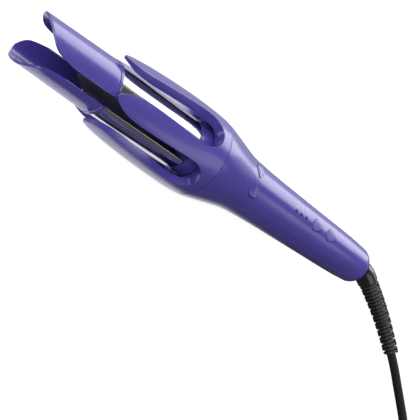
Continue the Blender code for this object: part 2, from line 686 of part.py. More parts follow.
def petal_guard():
    """The cage: five petals on a ring, its floor round the barrel's root and its spigot in the handle."""
    outer = [(GUARD_START + s * GUARD_LENGTH, guard_radius(s)) for s in GUARD_STATION_SHARES]
    inner = [(x, radius - GUARD_WALL) for x, radius in outer if x > SLOT_BOTTOM + OVERRUN][::-1]
    bore = COLLAR_RADIUS + COLLAR_GAP
    spigot_start = GUARD_START - SPIGOT_LENGTH
    spigot = inner_radius(spigot_start) - SEAT_GAP
    spigot_inside = spigot - SPIGOT_WALL
    back = SLOT_BOTTOM - FLOOR_THICKNESS
    deep = guard_radius(SLOT_START / GUARD_LENGTH) - GUARD_WALL
    profile = outer + inner + [
        (SLOT_BOTTOM, deep), (SLOT_BOTTOM, bore), (back, bore), (back, spigot_inside),
        (spigot_start, spigot_inside), (spigot_start, spigot), (GUARD_START, spigot),
    ]
    guard = turned("petal_guard", profile, VIOLET, AXIS)
    slot_length = GUARD_START + GUARD_LENGTH - SLOT_BOTTOM
    side = [(SLOT_BOTTOM + a * slot_length, b * SLOT_HALF_WIDTH) for a, b in SLOT_OUTLINE_SHARES]
    side.append((side[-1][0] + OVERRUN, side[-1][1] + OVERRUN))
    outline = side + [(x, -y) for x, y in side[:0:-1]]
    low, high = COLLAR_RADIUS - OVERRUN, NECK_RADIUS + OVERRUN
    for k in range(PETALS):
        turn = FIRST_PETAL_ANGLE + 2 * math.pi * (k + 0.5) / PETALS
        cut(guard, prism(f"petal_gap_{k}", outline, low, high, None, AXIS, rotation=(turn, 0.0, 0.0)))
    foot = FRONT_PLATE_X + PLATE_THICKNESS + SEAT_GAP
    head = FRONT_PLATE_X - SEAT_GAP
    for k in range(GUARD_SCREWS):
        y, z = guard_screw_place(k)
        rise = back + FLOOR_THICKNESS / 2 - foot
        join(guard, cylinder(f"guard_boss_{k}", GUARD_BOSS_RADIUS, rise, None, AXIS, (foot, y, z), "X"))
        depth = GUARD_SCREW_LENGTH + SCREW_CLEARANCE
        pilot = SCREW_RADIUS + SCREW_CLEARANCE
        cut(guard, cylinder(f"guard_pilot_{k}", pilot, depth, None, AXIS, (head, y, z), "X"))
        turn = (0.0, 0.0, math.pi)
        screw_piece(f"guard_screw_{k + 1}", AXIS, (head, y, z), turn, GUARD_SCREW_LENGTH, STEEL)


def guard_screw_place(k):
    angle = math.pi / 2 + 2 * math.pi * k / GUARD_SCREWS
    return GUARD_SCREW_REACH * math.cos(angle), GUARD_SCREW_REACH * math.sin(angle)


def half_parent(name, turn):
    holder = new_empty(name, ROTOR)
    holder.rotation_euler = (turn, 0.0, 0.0)
    return holder


def beyond_slot(name, clearance, holder):
    """A box that takes away all that lies on the other half's side of the hair slot."""
    far = OVERALL_LENGTH
    low, high = (BARREL_X - OVERRUN, -far, -far), (far + OVERRUN, far, HALF_SLOT + clearance)
    return block(name, low, high, None, holder)


def barrel_half(letter, turn):
    """One heated half of the barrel and its horn, modelled with the hair slot below it."""
    holder = half_parent("half_" + letter, turn)
    inner = BARREL_RADIUS - BARREL_WALL
    near, far = BARREL_X + SEAT_GAP, HORN_X - SEAT_GAP
    profile = [(near, BARREL_RADIUS), (far, BARREL_RADIUS), (far, inner), (near, inner)]
    shell = turned("barrel_shell_" + letter, profile, CHROME, holder)
    cut(shell, beyond_slot("slot_side_" + letter, 0.0, holder))

    lip_end = HORN_X + HORN_LIP
    tip = OVERALL_LENGTH
    middle = (HORN_X + tip) / 2
    spigot = inner - SEAT_GAP
    slim = spigot - HORN_WALL
    horn = turned(
        "horn_" + letter,
        [
            (HORN_X, HORN_BASE_RADIUS), (lip_end, HORN_BASE_RADIUS),
            (lip_end + HORN_LIP / 4, HORN_ROOT_RADIUS),
            (middle, (HORN_ROOT_RADIUS + HORN_TIP_RADIUS) / 2), (tip, HORN_TIP_RADIUS),
            (tip, HORN_TIP_RADIUS - HORN_WALL), (lip_end + HORN_SPIGOT, HORN_ROOT_RADIUS - HORN_WALL),
            (HORN_X, slim), (HORN_X - HORN_SPIGOT, slim), (HORN_X - HORN_SPIGOT, spigot), (HORN_X, spigot),
        ],
        VIOLET, holder,
    )
    side = [(tip - a * TONGUE_LENGTH, b * HORN_TIP_RADIUS) for a, b in TONGUE_OUTLINE_SHARES]
    side += [(side[-1][0] - OVERRUN, NECK_RADIUS), (HORN_X - HORN_SPIGOT - OVERRUN, NECK_RADIUS)]
    outline = side + [(x, -y) for x, y in side[:0:-1]]
    boolean(horn, prism("tongue_" + letter, outline, HALF_SLOT, NECK_RADIUS, None, holder), "INTERSECT")

    start = BARREL_X + HUB_SPIGOT + SEAT_GAP
    step = HORN_X - HORN_SPIGOT - SEAT_GAP
    plane = HALF_SLOT + LINER_THICKNESS
    wide = math.sqrt(spigot**2 - plane**2)
    narrow = math.sqrt((slim - SEAT_GAP) ** 2 - plane**2)
    end = HORN_X + LINER_REACH
    side = [(start, wide), (step, wide), (step, narrow), ((step + end) / 2, narrow), (end, narrow / 2)]
    outline = side + [(x, -y) for x, y in side[::-1]]
    prism("slot_liner_" + letter, outline, HALF_SLOT, plane, DARK, holder)

    half = HEATER_WIDTH_SHARE * BARREL_RADIUS / 2
    centre = (start + step) / 2
    floor = plane + SEAT_GAP
    top = floor + HEATER_THICKNESS_SHARE * (spigot - plane)
    low, high = (centre - HEATER_LENGTH / 2, -half, floor), (centre + HEATER_LENGTH / 2, half, top)
    block("heater_" + letter, low, high, WHITE, holder)
    profile = [(start, 0.0), (start, spigot), (step, spigot), (step, 0.0)]
    spreader = turned("heat_spreader_" + letter, profile, ALUMINIUM, holder, closed=False)
    cut(spreader, beyond_slot("spreader_flat_" + letter, top + SEAT_GAP - HALF_SLOT, holder))


def rotor():
    """The root collar and hub, and the hollow shaft that carries it and the wires."""
    back = SLOT_BOTTOM - FLOOR_THICKNESS + COLLAR_BACK_GAP
    nose = BARREL_X + HUB_SPIGOT
    spigot = BARREL_RADIUS - BARREL_WALL - SEAT_GAP
    socket = SHAFT_RADIUS + SEAT_GAP
    boss = socket + HUB_BOSS_WALL
    boss_start = FRONT_BEARING_END + SEAT_GAP
    skirt = BARREL_RADIUS - HUB_WALL
    hub = turned(
        "root_collar",
        [
            (HUB_WEB, 0.0), (HUB_WEB, socket), (boss_start, socket), (boss_start, boss), (HUB_WEB, boss),
            (HUB_WEB, skirt), (back, skirt), (back, COLLAR_RADIUS), (BARREL_X, BARREL_RADIUS),
            (BARREL_X, spigot), (nose, spigot), (nose, 0.0),
        ],
        VIOLET, ROTOR, closed=False,
    )
    far = BARREL_RADIUS
    turn = (ROTOR_ANGLE, 0.0, 0.0)
    floor = BARREL_X + SEAT_GAP
    low, high = (floor, -far, -HALF_SLOT), (nose + OVERRUN, far, HALF_SLOT)
    cut(hub, block("hair_slot_floor", low, high, None, ROTOR, rotation=turn))
    half = WIRE_PASSAGE / 2
    low, high = (SHAFT_END, -half, -skirt), (HUB_WEB - SEAT_GAP, half, skirt)
    cut(hub, block("wire_window", low, high, None, ROTOR, rotation=turn))
    reach = HALF_SLOT + LINER_THICKNESS + WIRE_PASSAGE
    for k, turned_by in enumerate((ROTOR_ANGLE, ROTOR_ANGLE + math.pi)):
        spot = (HUB_WEB - OVERRUN, -reach * math.sin(turned_by), reach * math.cos(turned_by))
        cut(hub, cylinder(f"wire_hole_{k}", half, 4 * HUB_SPIGOT, None, ROTOR, spot, "X"))
    start, end = SHAFT_START, SHAFT_END
    profile = [(start, SHAFT_RADIUS), (end, SHAFT_RADIUS), (end, SHAFT_BORE), (start, SHAFT_BORE)]
    turned("drive_shaft", profile, STEEL, ROTOR, steps=INNER_STEPS)
    inner = SHAFT_RADIUS + SEAT_GAP
    groove = SLIP_RING_RADIUS - SLIP_GROOVE
    start = REAR_PLATE_X + BEARING_LENGTH + END_PLAY
    band = SLIP_RING_LENGTH / SLIP_BANDS
    profile = [(start, inner)]
    for k in range(SLIP_BANDS):
        radius = groove if k % 2 else SLIP_RING_RADIUS
        profile += [(start + k * band, radius), (start + (k + 1) * band, radius)]
    profile.append((start + SLIP_RING_LENGTH, inner))
    turned("slip_ring", profile, BRASS, ROTOR, steps=INNER_STEPS)
    outline = gear_outline(GEAR_TEETH, GEAR_MODULE)
    hole = circle(SHAFT_RADIUS + SEAT_GAP, INNER_STEPS)
    prism("drive_gear", outline, GEAR_X, GEAR_X + GEAR_FACE, WHITE, ROTOR, rotation=ACROSS, hole=hole)


def drive():
    """The gear motor, its pinion, and the plates and bearings that hold the shaft."""
    c, s = math.cos(math.pi / PINION_TEETH), math.sin(math.pi / PINION_TEETH)
    outline = [(x * c + y * s, y * c - x * s) for x, y in gear_outline(PINION_TEETH, GEAR_MODULE)]
    hole = circle(MOTOR_SHAFT_RADIUS + RUNNING_GAP, SMALL_STEPS)
    place_at = (0.0, 0.0, -GEAR_CENTRES)
    prism("motor_pinion", outline, GEAR_X, GEAR_X + GEAR_FACE, BRASS, AXIS, place_at, ACROSS, hole)
    length, width, height = MOTOR_SIZE
    end = MOTOR_START + length
    low = (MOTOR_START, -width / 2, -GEAR_CENTRES - height / 2)
    high = (end, width / 2, -GEAR_CENTRES + height / 2)
    motor = block("gear_motor", low, high, STEEL, AXIS, bevel=MOTOR_EDGE)
    axle = GEAR_X + GEAR_FACE - end + OVERRUN
    foot = (end - OVERRUN, 0.0, -GEAR_CENTRES)
    join(motor, cylinder("motor_axle", MOTOR_SHAFT_RADIUS, axle, None, AXIS, foot, "X"))
    motor_plate = frame_plate("motor_plate", MOTOR_PLATE_X, 0.0)
    hole = MOTOR_SHAFT_RADIUS + SEAT_GAP
    foot = (MOTOR_PLATE_X - OVERRUN, 0.0, -GEAR_CENTRES)
    cut(motor_plate, cylinder("axle_hole", hole, 3 * OVERRUN, None, AXIS, foot, "X"))
    frame_plate("rear_bearing_plate", REAR_PLATE_X, REAR_BEARING_RADIUS)
    front_plate = frame_plate("front_bearing_plate", FRONT_PLATE_X, FRONT_BEARING_RADIUS)
    hole = SCREW_RADIUS + SCREW_CLEARANCE
    for k in range(GUARD_SCREWS):
        y, z = guard_screw_place(k)
        foot = (FRONT_PLATE_X - OVERRUN, y, z)
        cut(front_plate, cylinder(f"plate_screw_hole_{k}", hole, 3 * OVERRUN, None, AXIS, foot, "X"))
    start = MOTOR_PLATE_X - TIE_ROD_RADIUS
    length = FRONT_PLATE_X + PLATE_THICKNESS + TIE_ROD_RADIUS - start
    for k, side in enumerate((-1, 1)):
        foot = (start, side * TIE_ROD_REACH, 0.0)
        cylinder(f"tie_rod_{k + 1}", TIE_ROD_RADIUS, length, STEEL, AXIS, foot, "X")
    bore = SHAFT_RADIUS + RUNNING_GAP
    for name, start, radius in (
        ("rear_bearing", REAR_PLATE_X, REAR_BEARING_RADIUS),
        ("front_bearing", FRONT_PLATE_X, FRONT_BEARING_RADIUS),
    ):
        end = start + BEARING_LENGTH
        profile = [(start, radius), (end, radius), (end, bore), (start, bore)]
        turned(name, profile, BRASS, AXIS, steps=INNER_STEPS)
    top = -SLIP_RING_RADIUS - SEAT_GAP
    side = BRUSH_BLOCK_SIDE
    low = (REAR_BOSS_END + SEAT_GAP, -side, top - side)
    block("brush_block", low, (FRONT_PLATE_X - SEAT_GAP, side, top), DARK, AXIS)


def frame_plate(name, start, bearing_radius):
    """A round plate across the neck, on the tie rods, with a seat for a bearing where it has one."""
    rim = inner_radius(start) - SEAT_GAP
    end = start + PLATE_THICKNESS
    if bearing_radius:
        bore = bearing_radius + SEAT_GAP
        boss = bore + BEARING_BOSS_WALL
        boss_end = end + BEARING_LENGTH / 2
        profile = [(start, rim), (end, rim), (end, boss), (boss_end, boss), (boss_end, bore), (start, bore)]
        plate = turned(name, profile, ALUMINIUM, AXIS, steps=INNER_STEPS)
    else:
        profile = [(start, 0.0), (start, rim), (end, rim), (end, 0.0)]
        plate = turned(name, profile, ALUMINIUM, AXIS, closed=False, steps=INNER_STEPS)
    hole = TIE_ROD_RADIUS + SEAT_GAP
    for k, side in enumerate((-1, 1)):
        foot = (start - OVERRUN, side * TIE_ROD_REACH, 0.0)
        cut(plate, cylinder(f"{name}_rod_hole_{k}", hole, 3 * OVERRUN, None, AXIS, foot, "X"))
    return plate


def cord_end():
    """The clamp and the inner lead, inside the cord end of the handle."""
    length, width, height = CLAMP_SIZE
    low = (CLAMP_X - length / 2, -width / 2, -SEAT_GAP)
    high = (CLAMP_X + length / 2, width / 2, height - SEAT_GAP)
    clamp = block("cord_clamp", low, high, DARK, AXIS, SEAT_GAP)
    foot = (CLAMP_X - length, 0.0, 0.0)
    cut(clamp, cylinder("clamp_channel", CORD_RADIUS + SEAT_GAP, 2 * length, None, AXIS, foot, "X"))
    for k, y in enumerate(CLAMP_SCREW_PLACES):
        hole = SCREW_RADIUS + SCREW_CLEARANCE
        foot = (CLAMP_X, y, -height)
        cut(clamp, cylinder(f"clamp_hole_{k}", hole, 3 * height, None, AXIS, foot, "Z", 12))
        spot = (CLAMP_X, y, height)
        screw_piece(f"clamp_screw_{k + 1}", AXIS, spot, (0.0, -math.pi / 2, 0.0), CLAMP_SCREW_LENGTH, STEEL)
    lead = POWER_BOARD[0] - LEAD_END_GAP - LEAD_START
    cylinder("inner_lead", CORD_RADIUS - SEAT_GAP / 3, lead, RUBBER, AXIS, (LEAD_START, 0.0, 0.0), "X", 10)


def tube(name, points, material, resolution, radii=None):
    """A tube through the points, of CORD_RADIUS or of the radius given at each point."""
    made = bpy.data.curves.new(name, "CURVE")
    made.dimensions = "3D"
    made.bevel_depth = 1.0
    made.bevel_resolution = resolution
    made.use_fill_caps = True
    made.twist_mode = "MINIMUM"
    spline = made.splines.new("POLY")
    spline.points.add(len(points) - 1)
    for k, (point, where) in enumerate(zip(spline.points, points)):
        point.co = (*where, 1.0)
        point.radius = radii[k] if radii else CORD_RADIUS
    made.materials.append(material)
    piece = bpy.data.objects.new(name, made)
    PARTS.objects.link(piece)
    return piece


def smooth_route(points, start_direction, end_direction, step):
    """Points a step apart on the smooth curve through the route's own points."""
    count = len(points)
    tangents = []
    for k in range(count):
        if k == 0:
            tangents.append(Vector(start_direction).normalized() * (points[1] - points[0]).length)
        elif k == count - 1:
            tangents.append(Vector(end_direction).normalized() * (points[k] - points[k - 1]).length)
        else:
            tangents.append((points[k + 1] - points[k - 1]) / 2)
    fine = []
    for k in range(count - 1):
        a, b = points[k], points[k + 1]
        piece = interpolate_bezier(a, a + tangents[k] / 3, b - tangents[k + 1] / 3, b, 24)
        fine += piece[:-1] if k < count - 2 else piece
    return spaced(fine, step)


def spaced(fine, step):
    lengths = [0.0]
    for a, b in zip(fine, fine[1:]):
        lengths.append(lengths[-1] + (b - a).length)
    count = max(2, round(lengths[-1] / step))
    made = []
    k = 0
    for i in range(count + 1):
        want = lengths[-1] * i / count
        while k < len(fine) - 2 and lengths[k + 1] < want:
            k += 1
        share = (want - lengths[k]) / max(lengths[k + 1] - lengths[k], 1e-12)
        made.append(fine[k].lerp(fine[k + 1], min(1.0, share)))
    return made


def path_length(points):
    return sum((b - a).length for a, b in zip(points, points[1:]))


def strain_relief():
    """The ribbed boot: a flange held in the handle, a smooth collar and ribs that thin towards the cord."""
    mouth = on_table(0.0, 0.0, 0.0)
    along = mouth - on_table(LEAD_START, 0.0, 0.0)
    route = [mouth] + [from_cord_end(*p) for p in RELIEF_ROUTE]
    fine = smooth_route(route, along, RELIEF_END_DIRECTION, CORD_RADIUS / 8)
    total = path_length(fine)
    print(f"Strain relief outside the handle: {1000 * total:.1f} mm")
    spans = [0.0, RELIEF_COLLAR_LENGTH / 3, 2 * RELIEF_COLLAR_LENGTH / 3, RELIEF_COLLAR_LENGTH]
    radii = [RELIEF_RADIUS, RELIEF_RADIUS, (RELIEF_RADIUS + RELIEF_COLLAR_RADIUS) / 2, RELIEF_COLLAR_RADIUS]
    rib = (total - RELIEF_COLLAR_LENGTH) / RELIEF_RIBS
    for k in range(RELIEF_RIBS):
        share = (k + 0.5) / RELIEF_RIBS
        crest = RELIEF_COLLAR_RADIUS + (RELIEF_TIP_RADIUS - RELIEF_COLLAR_RADIUS) * share
        start = RELIEF_COLLAR_LENGTH + k * rib
        spans += [start + rib * GROOVE_SHARE, start + rib * CREST_SHARE]
        radii += [crest - RELIEF_RIB_DEPTH, crest]
    spans[-1] = total
    points = [fine[min(len(fine) - 1, round(span / total * (len(fine) - 1)))] for span in spans]
    flange_end = RELIEF_FLANGE_X + RELIEF_FLANGE_LENGTH
    inside = [
        (flange_end + SEAT_GAP, CORD_RADIUS), (flange_end, RELIEF_FLANGE_RADIUS),
        (RELIEF_FLANGE_X, RELIEF_FLANGE_RADIUS), (RELIEF_FLANGE_X - SEAT_GAP, RELIEF_RADIUS),
    ]
    points = [on_table(x, 0.0, 0.0) for x, _ in inside] + points
    tube("strain_relief", points, RUBBER, 2, [radius for _, radius in inside] + radii)
    return fine[-1]


def coil_points():
    """Layers of loops that spiral in, out, in and out again, and climb where the spiral reverses."""
    centre = from_cord_end(*COIL_CENTRE, CORD_FLOOR)
    in_layer = COIL_TURNS / COIL_LAYERS
    outer = COIL_MIDDLE_RADIUS + in_layer * COIL_PITCH / 2
    steps = round(COIL_TURNS * COIL_POINTS)
    points = []
    for k in range(steps + 1):
        turns = COIL_TURNS * k / steps
        layer = min(int(turns / in_layer), COIL_LAYERS - 1)
        along = turns - layer * in_layer
        if layer % 2:
            along = in_layer - along
        lift = 0.0
        for climb in range(1, COIL_LAYERS):
            share = min(1.0, max(0.0, 2 * (turns - climb * in_layer) + 0.5))
            lift += COIL_LAYER * share * share * (3 - 2 * share)
        radius = outer - COIL_PITCH * along
        angle = COIL_START_ANGLE - 2 * math.pi * turns
        points.append(centre + Vector((radius * math.cos(angle), radius * math.sin(angle), lift)))
    return points


def least_gap(points, near):
    """The least gap from the tube to itself, between stretches further apart along it than near."""
    lengths = [0.0]
    for a, b in zip(points, points[1:]):
        lengths.append(lengths[-1] + (b - a).length)
    least = OVERALL_LENGTH
    for i, a in enumerate(points):
        for j in range(i + 1, len(points) - 1):
            if lengths[j] - lengths[i] < near:
                continue
            b, c = points[j], points[j + 1]
            share = max(0.0, min(1.0, (a - b).dot(c - b) / (c - b).length_squared))
            least = min(least, (a - b.lerp(c, share)).length)
    return least - 2 * CORD_RADIUS


def cord():
    """The strain relief, the free cord, its coil and its two-pin plug."""
    relief_tip = strain_relief()
    coil = coil_points()
    straight = 2 * CORD_RADIUS
    into_coil = (coil[1] - coil[0]).normalized()
    lead_in = coil[0] - into_coil * straight
    out = Vector(RELIEF_END_DIRECTION).normalized()
    start = relief_tip + out * SEAT_GAP
    end = lead_in - into_coil * SEAT_GAP
    route = [from_cord_end(*p) for p in CORD_ROUTE]
    route = [start + out * straight] + route + [end - into_coil * straight]
    points = [start] + smooth_route(route, out, into_coil, CORD_STEP_SHARE * straight) + [end]
    tube("cord", points, RUBBER, 2)

    from_coil = (coil[-1] - coil[-2]).normalized()
    facing = Vector((math.cos(PLUG_ANGLE), math.sin(PLUG_ANGLE), 0.0))
    plug = from_cord_end(*PLUG_PLACE, PLUG_BODY[2] / 2 + SEAT_GAP / 3)
    route = [coil[-1]] + [from_cord_end(*p) for p in TAIL_ROUTE] + [plug - facing * straight]
    tail = smooth_route(route, from_coil, facing, straight)
    wound = [lead_in] + coil + tail[1:] + [plug]
    tube("cord_coil", wound, RUBBER, 1)
    print(f"Least gap of the coil to itself: {1000 * least_gap(wound, 4 * straight):.2f} mm")
    print(f"Free cord length: {path_length(points) + path_length(wound):.3f} m")

    holder = bpy.data.objects.new("plug_place", None)
    PARTS.objects.link(holder)
    holder.location = plug + facing * SEAT_GAP
    holder.rotation_euler = (0.0, 0.0, PLUG_ANGLE)
    length, width, height = PLUG_BODY
    low = (PLUG_NECK_LENGTH, -width / 2, -height / 2)
    high = (PLUG_NECK_LENGTH + length, width / 2, height / 2)
    body = block("plug_body", low, high, RUBBER, holder, bevel=PLUG_EDGE)
    neck = PLUG_NECK_LENGTH + OVERRUN
    cone = cylinder("plug_neck", PLUG_NECK_END_RADIUS, neck, None, holder, HERE, "X", 12, PLUG_NECK_RADIUS)
    join(body, cone)
    front = PLUG_NECK_LENGTH + length + SEAT_GAP
    for k, side in enumerate((-1, 1)):
        spot = (front, side * PLUG_PIN_SPACING / 2, 0.0)
        cylinder(f"plug_pin_{k + 1}", PLUG_PIN_RADIUS, PLUG_PIN_LENGTH, BRASS, holder, spot, "X", 14)


clear_scene()
PARTS = new_collection("automatic_hair_curler")
CUTTERS = new_collection("cutters", hidden=True)
VIOLET = finish("violet plastic", (0.165, 0.130, 0.420), 0.32)
DARK = finish("dark plastic", (0.03, 0.025, 0.06), 0.45)
CHROME = finish("chrome", (0.78, 0.78, 0.80), 0.08, 1.0)
STEEL = finish("steel", (0.55, 0.56, 0.58), 0.35, 1.0)
BRASS = finish("brass", (0.72, 0.55, 0.25), 0.30, 1.0)
ALUMINIUM = finish("aluminium", (0.70, 0.71, 0.73), 0.40, 1.0)
BLACK = finish("black plastic", (0.02, 0.02, 0.02), 0.5)
WHITE = finish("white plastic", (0.82, 0.82, 0.80), 0.5)
GREEN = finish("circuit board", (0.03, 0.20, 0.08), 0.5)
BLUE = finish("capacitor sleeve", (0.05, 0.10, 0.30), 0.4)
CLEAR = finish("light pipe", (0.80, 0.80, 0.90), 0.15)
RUBBER = finish("rubber", (0.02, 0.02, 0.022), 0.55)
AXIS = new_empty("curler_axis")
AXIS.location = (-TABLE_SHIFT, 0.0, AXIS_HEIGHT)
AXIS.rotation_euler = (0.0, -TILT, 0.0)
ROTOR = new_empty("rotor_axis", AXIS)

handle_shells()
controls()
boards()
petal_guard()
rotor()
barrel_half("a", ROTOR_ANGLE)
barrel_half("b", ROTOR_ANGLE + math.pi)
drive()
cord_end()
cord()
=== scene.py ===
import math

import bpy
from mathutils import Matrix, Vector
from mathutils.geometry import interpolate_bezier


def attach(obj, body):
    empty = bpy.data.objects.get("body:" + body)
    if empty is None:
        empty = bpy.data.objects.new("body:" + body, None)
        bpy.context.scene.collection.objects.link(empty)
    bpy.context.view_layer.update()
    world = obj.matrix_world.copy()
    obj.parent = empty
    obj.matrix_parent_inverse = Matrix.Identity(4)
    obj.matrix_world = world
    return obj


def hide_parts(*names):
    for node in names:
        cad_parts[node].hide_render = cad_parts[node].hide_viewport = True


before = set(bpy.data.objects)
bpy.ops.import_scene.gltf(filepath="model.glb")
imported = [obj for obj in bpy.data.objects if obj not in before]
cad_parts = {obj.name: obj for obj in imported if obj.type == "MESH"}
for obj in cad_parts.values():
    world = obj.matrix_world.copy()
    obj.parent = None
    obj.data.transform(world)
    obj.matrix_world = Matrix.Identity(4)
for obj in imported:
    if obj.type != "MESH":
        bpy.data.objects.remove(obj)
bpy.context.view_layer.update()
print("frame loaded,", len(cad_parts), "nodes")

# The curler lies along its own x axis from the cord end, buttons towards +z, in metres
curler = {
    "length": 0.311,
    "handleLength": 0.166,
    "neckRadius": 0.0266,
    "tilt": math.radians(5.115699),
    "axisHeight": 0.0116923,
    "tableShift": 0.1550379,
    "rotorTurn": math.radians(49),
    "slotHalf": 0.004,
    "cageStart": 0.1663,
    "slotBottom": 0.1730,
    "barrelStart": 0.1825,
    "barrelRadius": 0.0170,
    "hornStart": 0.2515,
}


def at(x, y=0.0, z=0.0):
    return Matrix.Translation((x, y, z))


def turn(angle, axis="X"):
    return Matrix.Rotation(angle, 4, axis)


curlerPlace = at(-curler["tableShift"], 0, curler["axisHeight"]) @ turn(-curler["tilt"], "Y")


# Small helpers

def deselect():
    if bpy.context.mode != "OBJECT":
        bpy.ops.object.mode_set(mode="OBJECT")
    bpy.ops.object.select_all(action="DESELECT")


def added(make, name, **settings):
    deselect()
    make(**settings)
    piece = bpy.context.object
    piece.name = name
    return piece


def pick(*pieces):
    deselect()
    for piece in pieces:
        piece.select_set(True)
    bpy.context.view_layer.objects.active = pieces[0]


def edit(piece):
    pick(piece)
    bpy.ops.object.mode_set(mode="EDIT")
    bpy.ops.mesh.select_all(action="SELECT")


def cleaned(piece, merge=0.0, fill=False):
    edit(piece)
    if merge:
        bpy.ops.mesh.remove_doubles(threshold=merge)
    if fill:
        bpy.ops.mesh.fill_holes(sides=0)
        bpy.ops.mesh.select_all(action="SELECT")
    bpy.ops.mesh.normals_make_consistent()
    bpy.ops.object.mode_set(mode="OBJECT")
    return piece


def flipIf(insideOut, piece):
    if insideOut:
        edit(piece)
        bpy.ops.mesh.flip_normals()
        bpy.ops.object.mode_set(mode="OBJECT")


def apply(piece, kind, **settings):
    pick(piece)
    step = piece.modifiers.new(kind.lower(), kind)
    for key, value in settings.items():
        setattr(step, key, value)
    bpy.ops.object.modifier_apply(modifier=step.name)


def thicken(piece, wall):
    apply(piece, "SOLIDIFY", thickness=wall)


def roundEdges(piece, width, segments=3, angle=40):
    limit = math.radians(angle)
    apply(piece, "BEVEL", width=width, segments=segments, limit_method="ANGLE", angle_limit=limit)


def smooth(piece, angle):
    pick(piece)
    bpy.ops.object.shade_smooth_by_angle(angle=math.radians(angle))
    apply(piece, "WEIGHTED_NORMAL", keep_sharp=True)


def settle(piece, place=curlerPlace):
    piece.matrix_world = place @ piece.matrix_world  # the place goes into the mesh
    pick(piece)
    bpy.ops.object.transform_apply()
    return piece


def named(piece, name):
    piece.name = piece.data.name = name
    return piece


def copied(piece, matrix):
    pick(piece)
    bpy.ops.object.duplicate()
    return settle(bpy.context.object, matrix)


def joined(name, *pieces):
    pick(*pieces)
    bpy.ops.object.join()
    return named(bpy.context.object, name)


def discard(piece):
    bpy.data.objects.remove(piece, do_unlink=True)


def smoothValue(table, share):
    last = len(table) - 1
    share = max(table[0][0], min(table[last][0], share))
    i = max(k for k in range(last) if table[k][0] <= share)

    def slope(k):
        low, high = max(k - 1, 0), min(k + 1, last)
        return (table[high][1] - table[low][1]) / (table[high][0] - table[low][0])

    span = table[i + 1][0] - table[i][0]
    t = (share - table[i][0]) / span
    return (
        (1 + 2 * t) * (1 - t) ** 2 * table[i][1] + t * (1 - t) ** 2 * span * slope(i)
        + t * t * (3 - 2 * t) * table[i + 1][1] + t * t * (t - 1) * span * slope(i + 1)
    )


def stations(start, end, count):
    return [start + (end - start) * k / count for k in range(count + 1)]


def onRound(x, radius, angle):
    return Vector((x, -radius * math.sin(angle), radius * math.cos(angle)))


def curvedSheet(name, rows, columns, spot):
    grid = bpy.ops.mesh.primitive_grid_add
    sheet = added(grid, name, x_subdivisions=columns, y_subdivisions=rows, size=2)
    for vertex in sheet.data.vertices:
        vertex.co = spot((vertex.co.y + 1) / 2, vertex.co.x)
    return sheet


def faceOut(sheet):
    cleaned(sheet, merge=0.000008)
    faces = sheet.data.polygons
    flipIf(sum(face.normal.y * face.center.y + face.normal.z * face.center.z for face in faces) < 0, sheet)


def lengths(points):
    gone = [0.0]
    for a, b in zip(points, points[1:]):
        gone.append(gone[-1] + (b - a).length)
    return gone


def evenly(points, count):
    reach = lengths(points)
    made, k = [], 0
    for i in range(count + 1):
        want = reach[-1] * i / count
        while k < len(points) - 2 and reach[k + 1] < want:
            k += 1
        share = (want - reach[k]) / max(reach[k + 1] - reach[k], 1e-12)
        made.append(points[k].lerp(points[k + 1], min(1.0, share)))
    return made


def valueAt(table, place):
    for (a, low), (b, high) in zip(table, table[1:]):
        if place <= b:
            return low + (high - low) * max(0.0, place - a) / (b - a)
    return table[-1][1]


def bandSheet(name, outline, spine, rows, lay, room=None):
    # a mirrored band of faces from the rim to the spine, whose lines cross the rim squarely
    last = len(outline) - 1
    inward = []
    for k in range(last + 1):
        if k in (0, last):
            inward.append((spine[k] - outline[k]).normalized())
            continue
        along = outline[k + 1] - outline[k - 1]
        side = Vector((-along.y, along.x)).normalized()
        inward.append(side if side.dot(spine[k] - outline[k]) > 0 else -side)

    def spot(u, v):
        k = round(abs(v) * last)
        offset, share = rows[round(u * (len(rows) - 1))]
        if room:
            offset *= min(1.0, abs(outline[k].y - outline[last].y) / room)
        flat = (outline[k] + inward[k] * offset * (1 - share)).lerp(spine[k], share)
        return lay(flat.x, flat.y if v >= 0 else -flat.y)

    return curvedSheet(name, len(rows) - 1, 2 * last, spot)


def outlined(name, points, filling):
    circle = bpy.ops.mesh.primitive_circle_add
    piece = added(circle, name, vertices=len(points), fill_type=filling)
    for vertex, point in zip(piece.data.vertices, points):
        vertex.co = point
    edit(piece)
    return piece


def turned(name, profile, steps=96, half=False):
    piece = outlined(name, [(x, radius, 0) for x, radius in profile], "NOTHING")
    arc = math.pi if half else 2 * math.pi
    bpy.ops.mesh.spin(steps=steps, angle=arc, center=(0, 0, 0), axis=(1, 0, 0), use_auto_merge=not half)
    bpy.ops.mesh.select_all(action="SELECT")
    bpy.ops.mesh.remove_doubles(threshold=0.000002)
    bpy.ops.mesh.delete_loose()
    return cleaned(piece, fill=half)


def ring(name, start, profile, steps=96):
    return turned(name, [(start + x, radius) for x, radius in profile], steps)


def standing(name, profile, steps, x, y=0.0):
    return settle(turned(name, profile, steps), at(x, y) @ turn(-math.pi / 2, "Y"))


def plate(name, outline, low, high):
    piece = outlined(name, [(x, y, low) for x, y in outline], "NGON")
    bpy.ops.mesh.extrude_region_move(TRANSFORM_OT_translate={"value": (0, 0, high - low)})
    return cleaned(piece)


def cutAway(piece, *cutters):
    for cutter in cutters:
        apply(piece, "BOOLEAN", operation="DIFFERENCE", object=cutter)
        discard(cutter)


def egg(size, taper=0, grow=0.0, count=64):
    points = []
    for k in range(count):
        t = 2 * math.pi * k / count
        x = (size[0] / 2 + grow) * math.cos(t)
        points.append((x, (size[1] / 2 + grow) * math.sin(t) * (1 + taper * math.cos(t))))
    return points


def disc(radius, count):
    return egg((2 * radius, 2 * radius), count=count)


# Camera

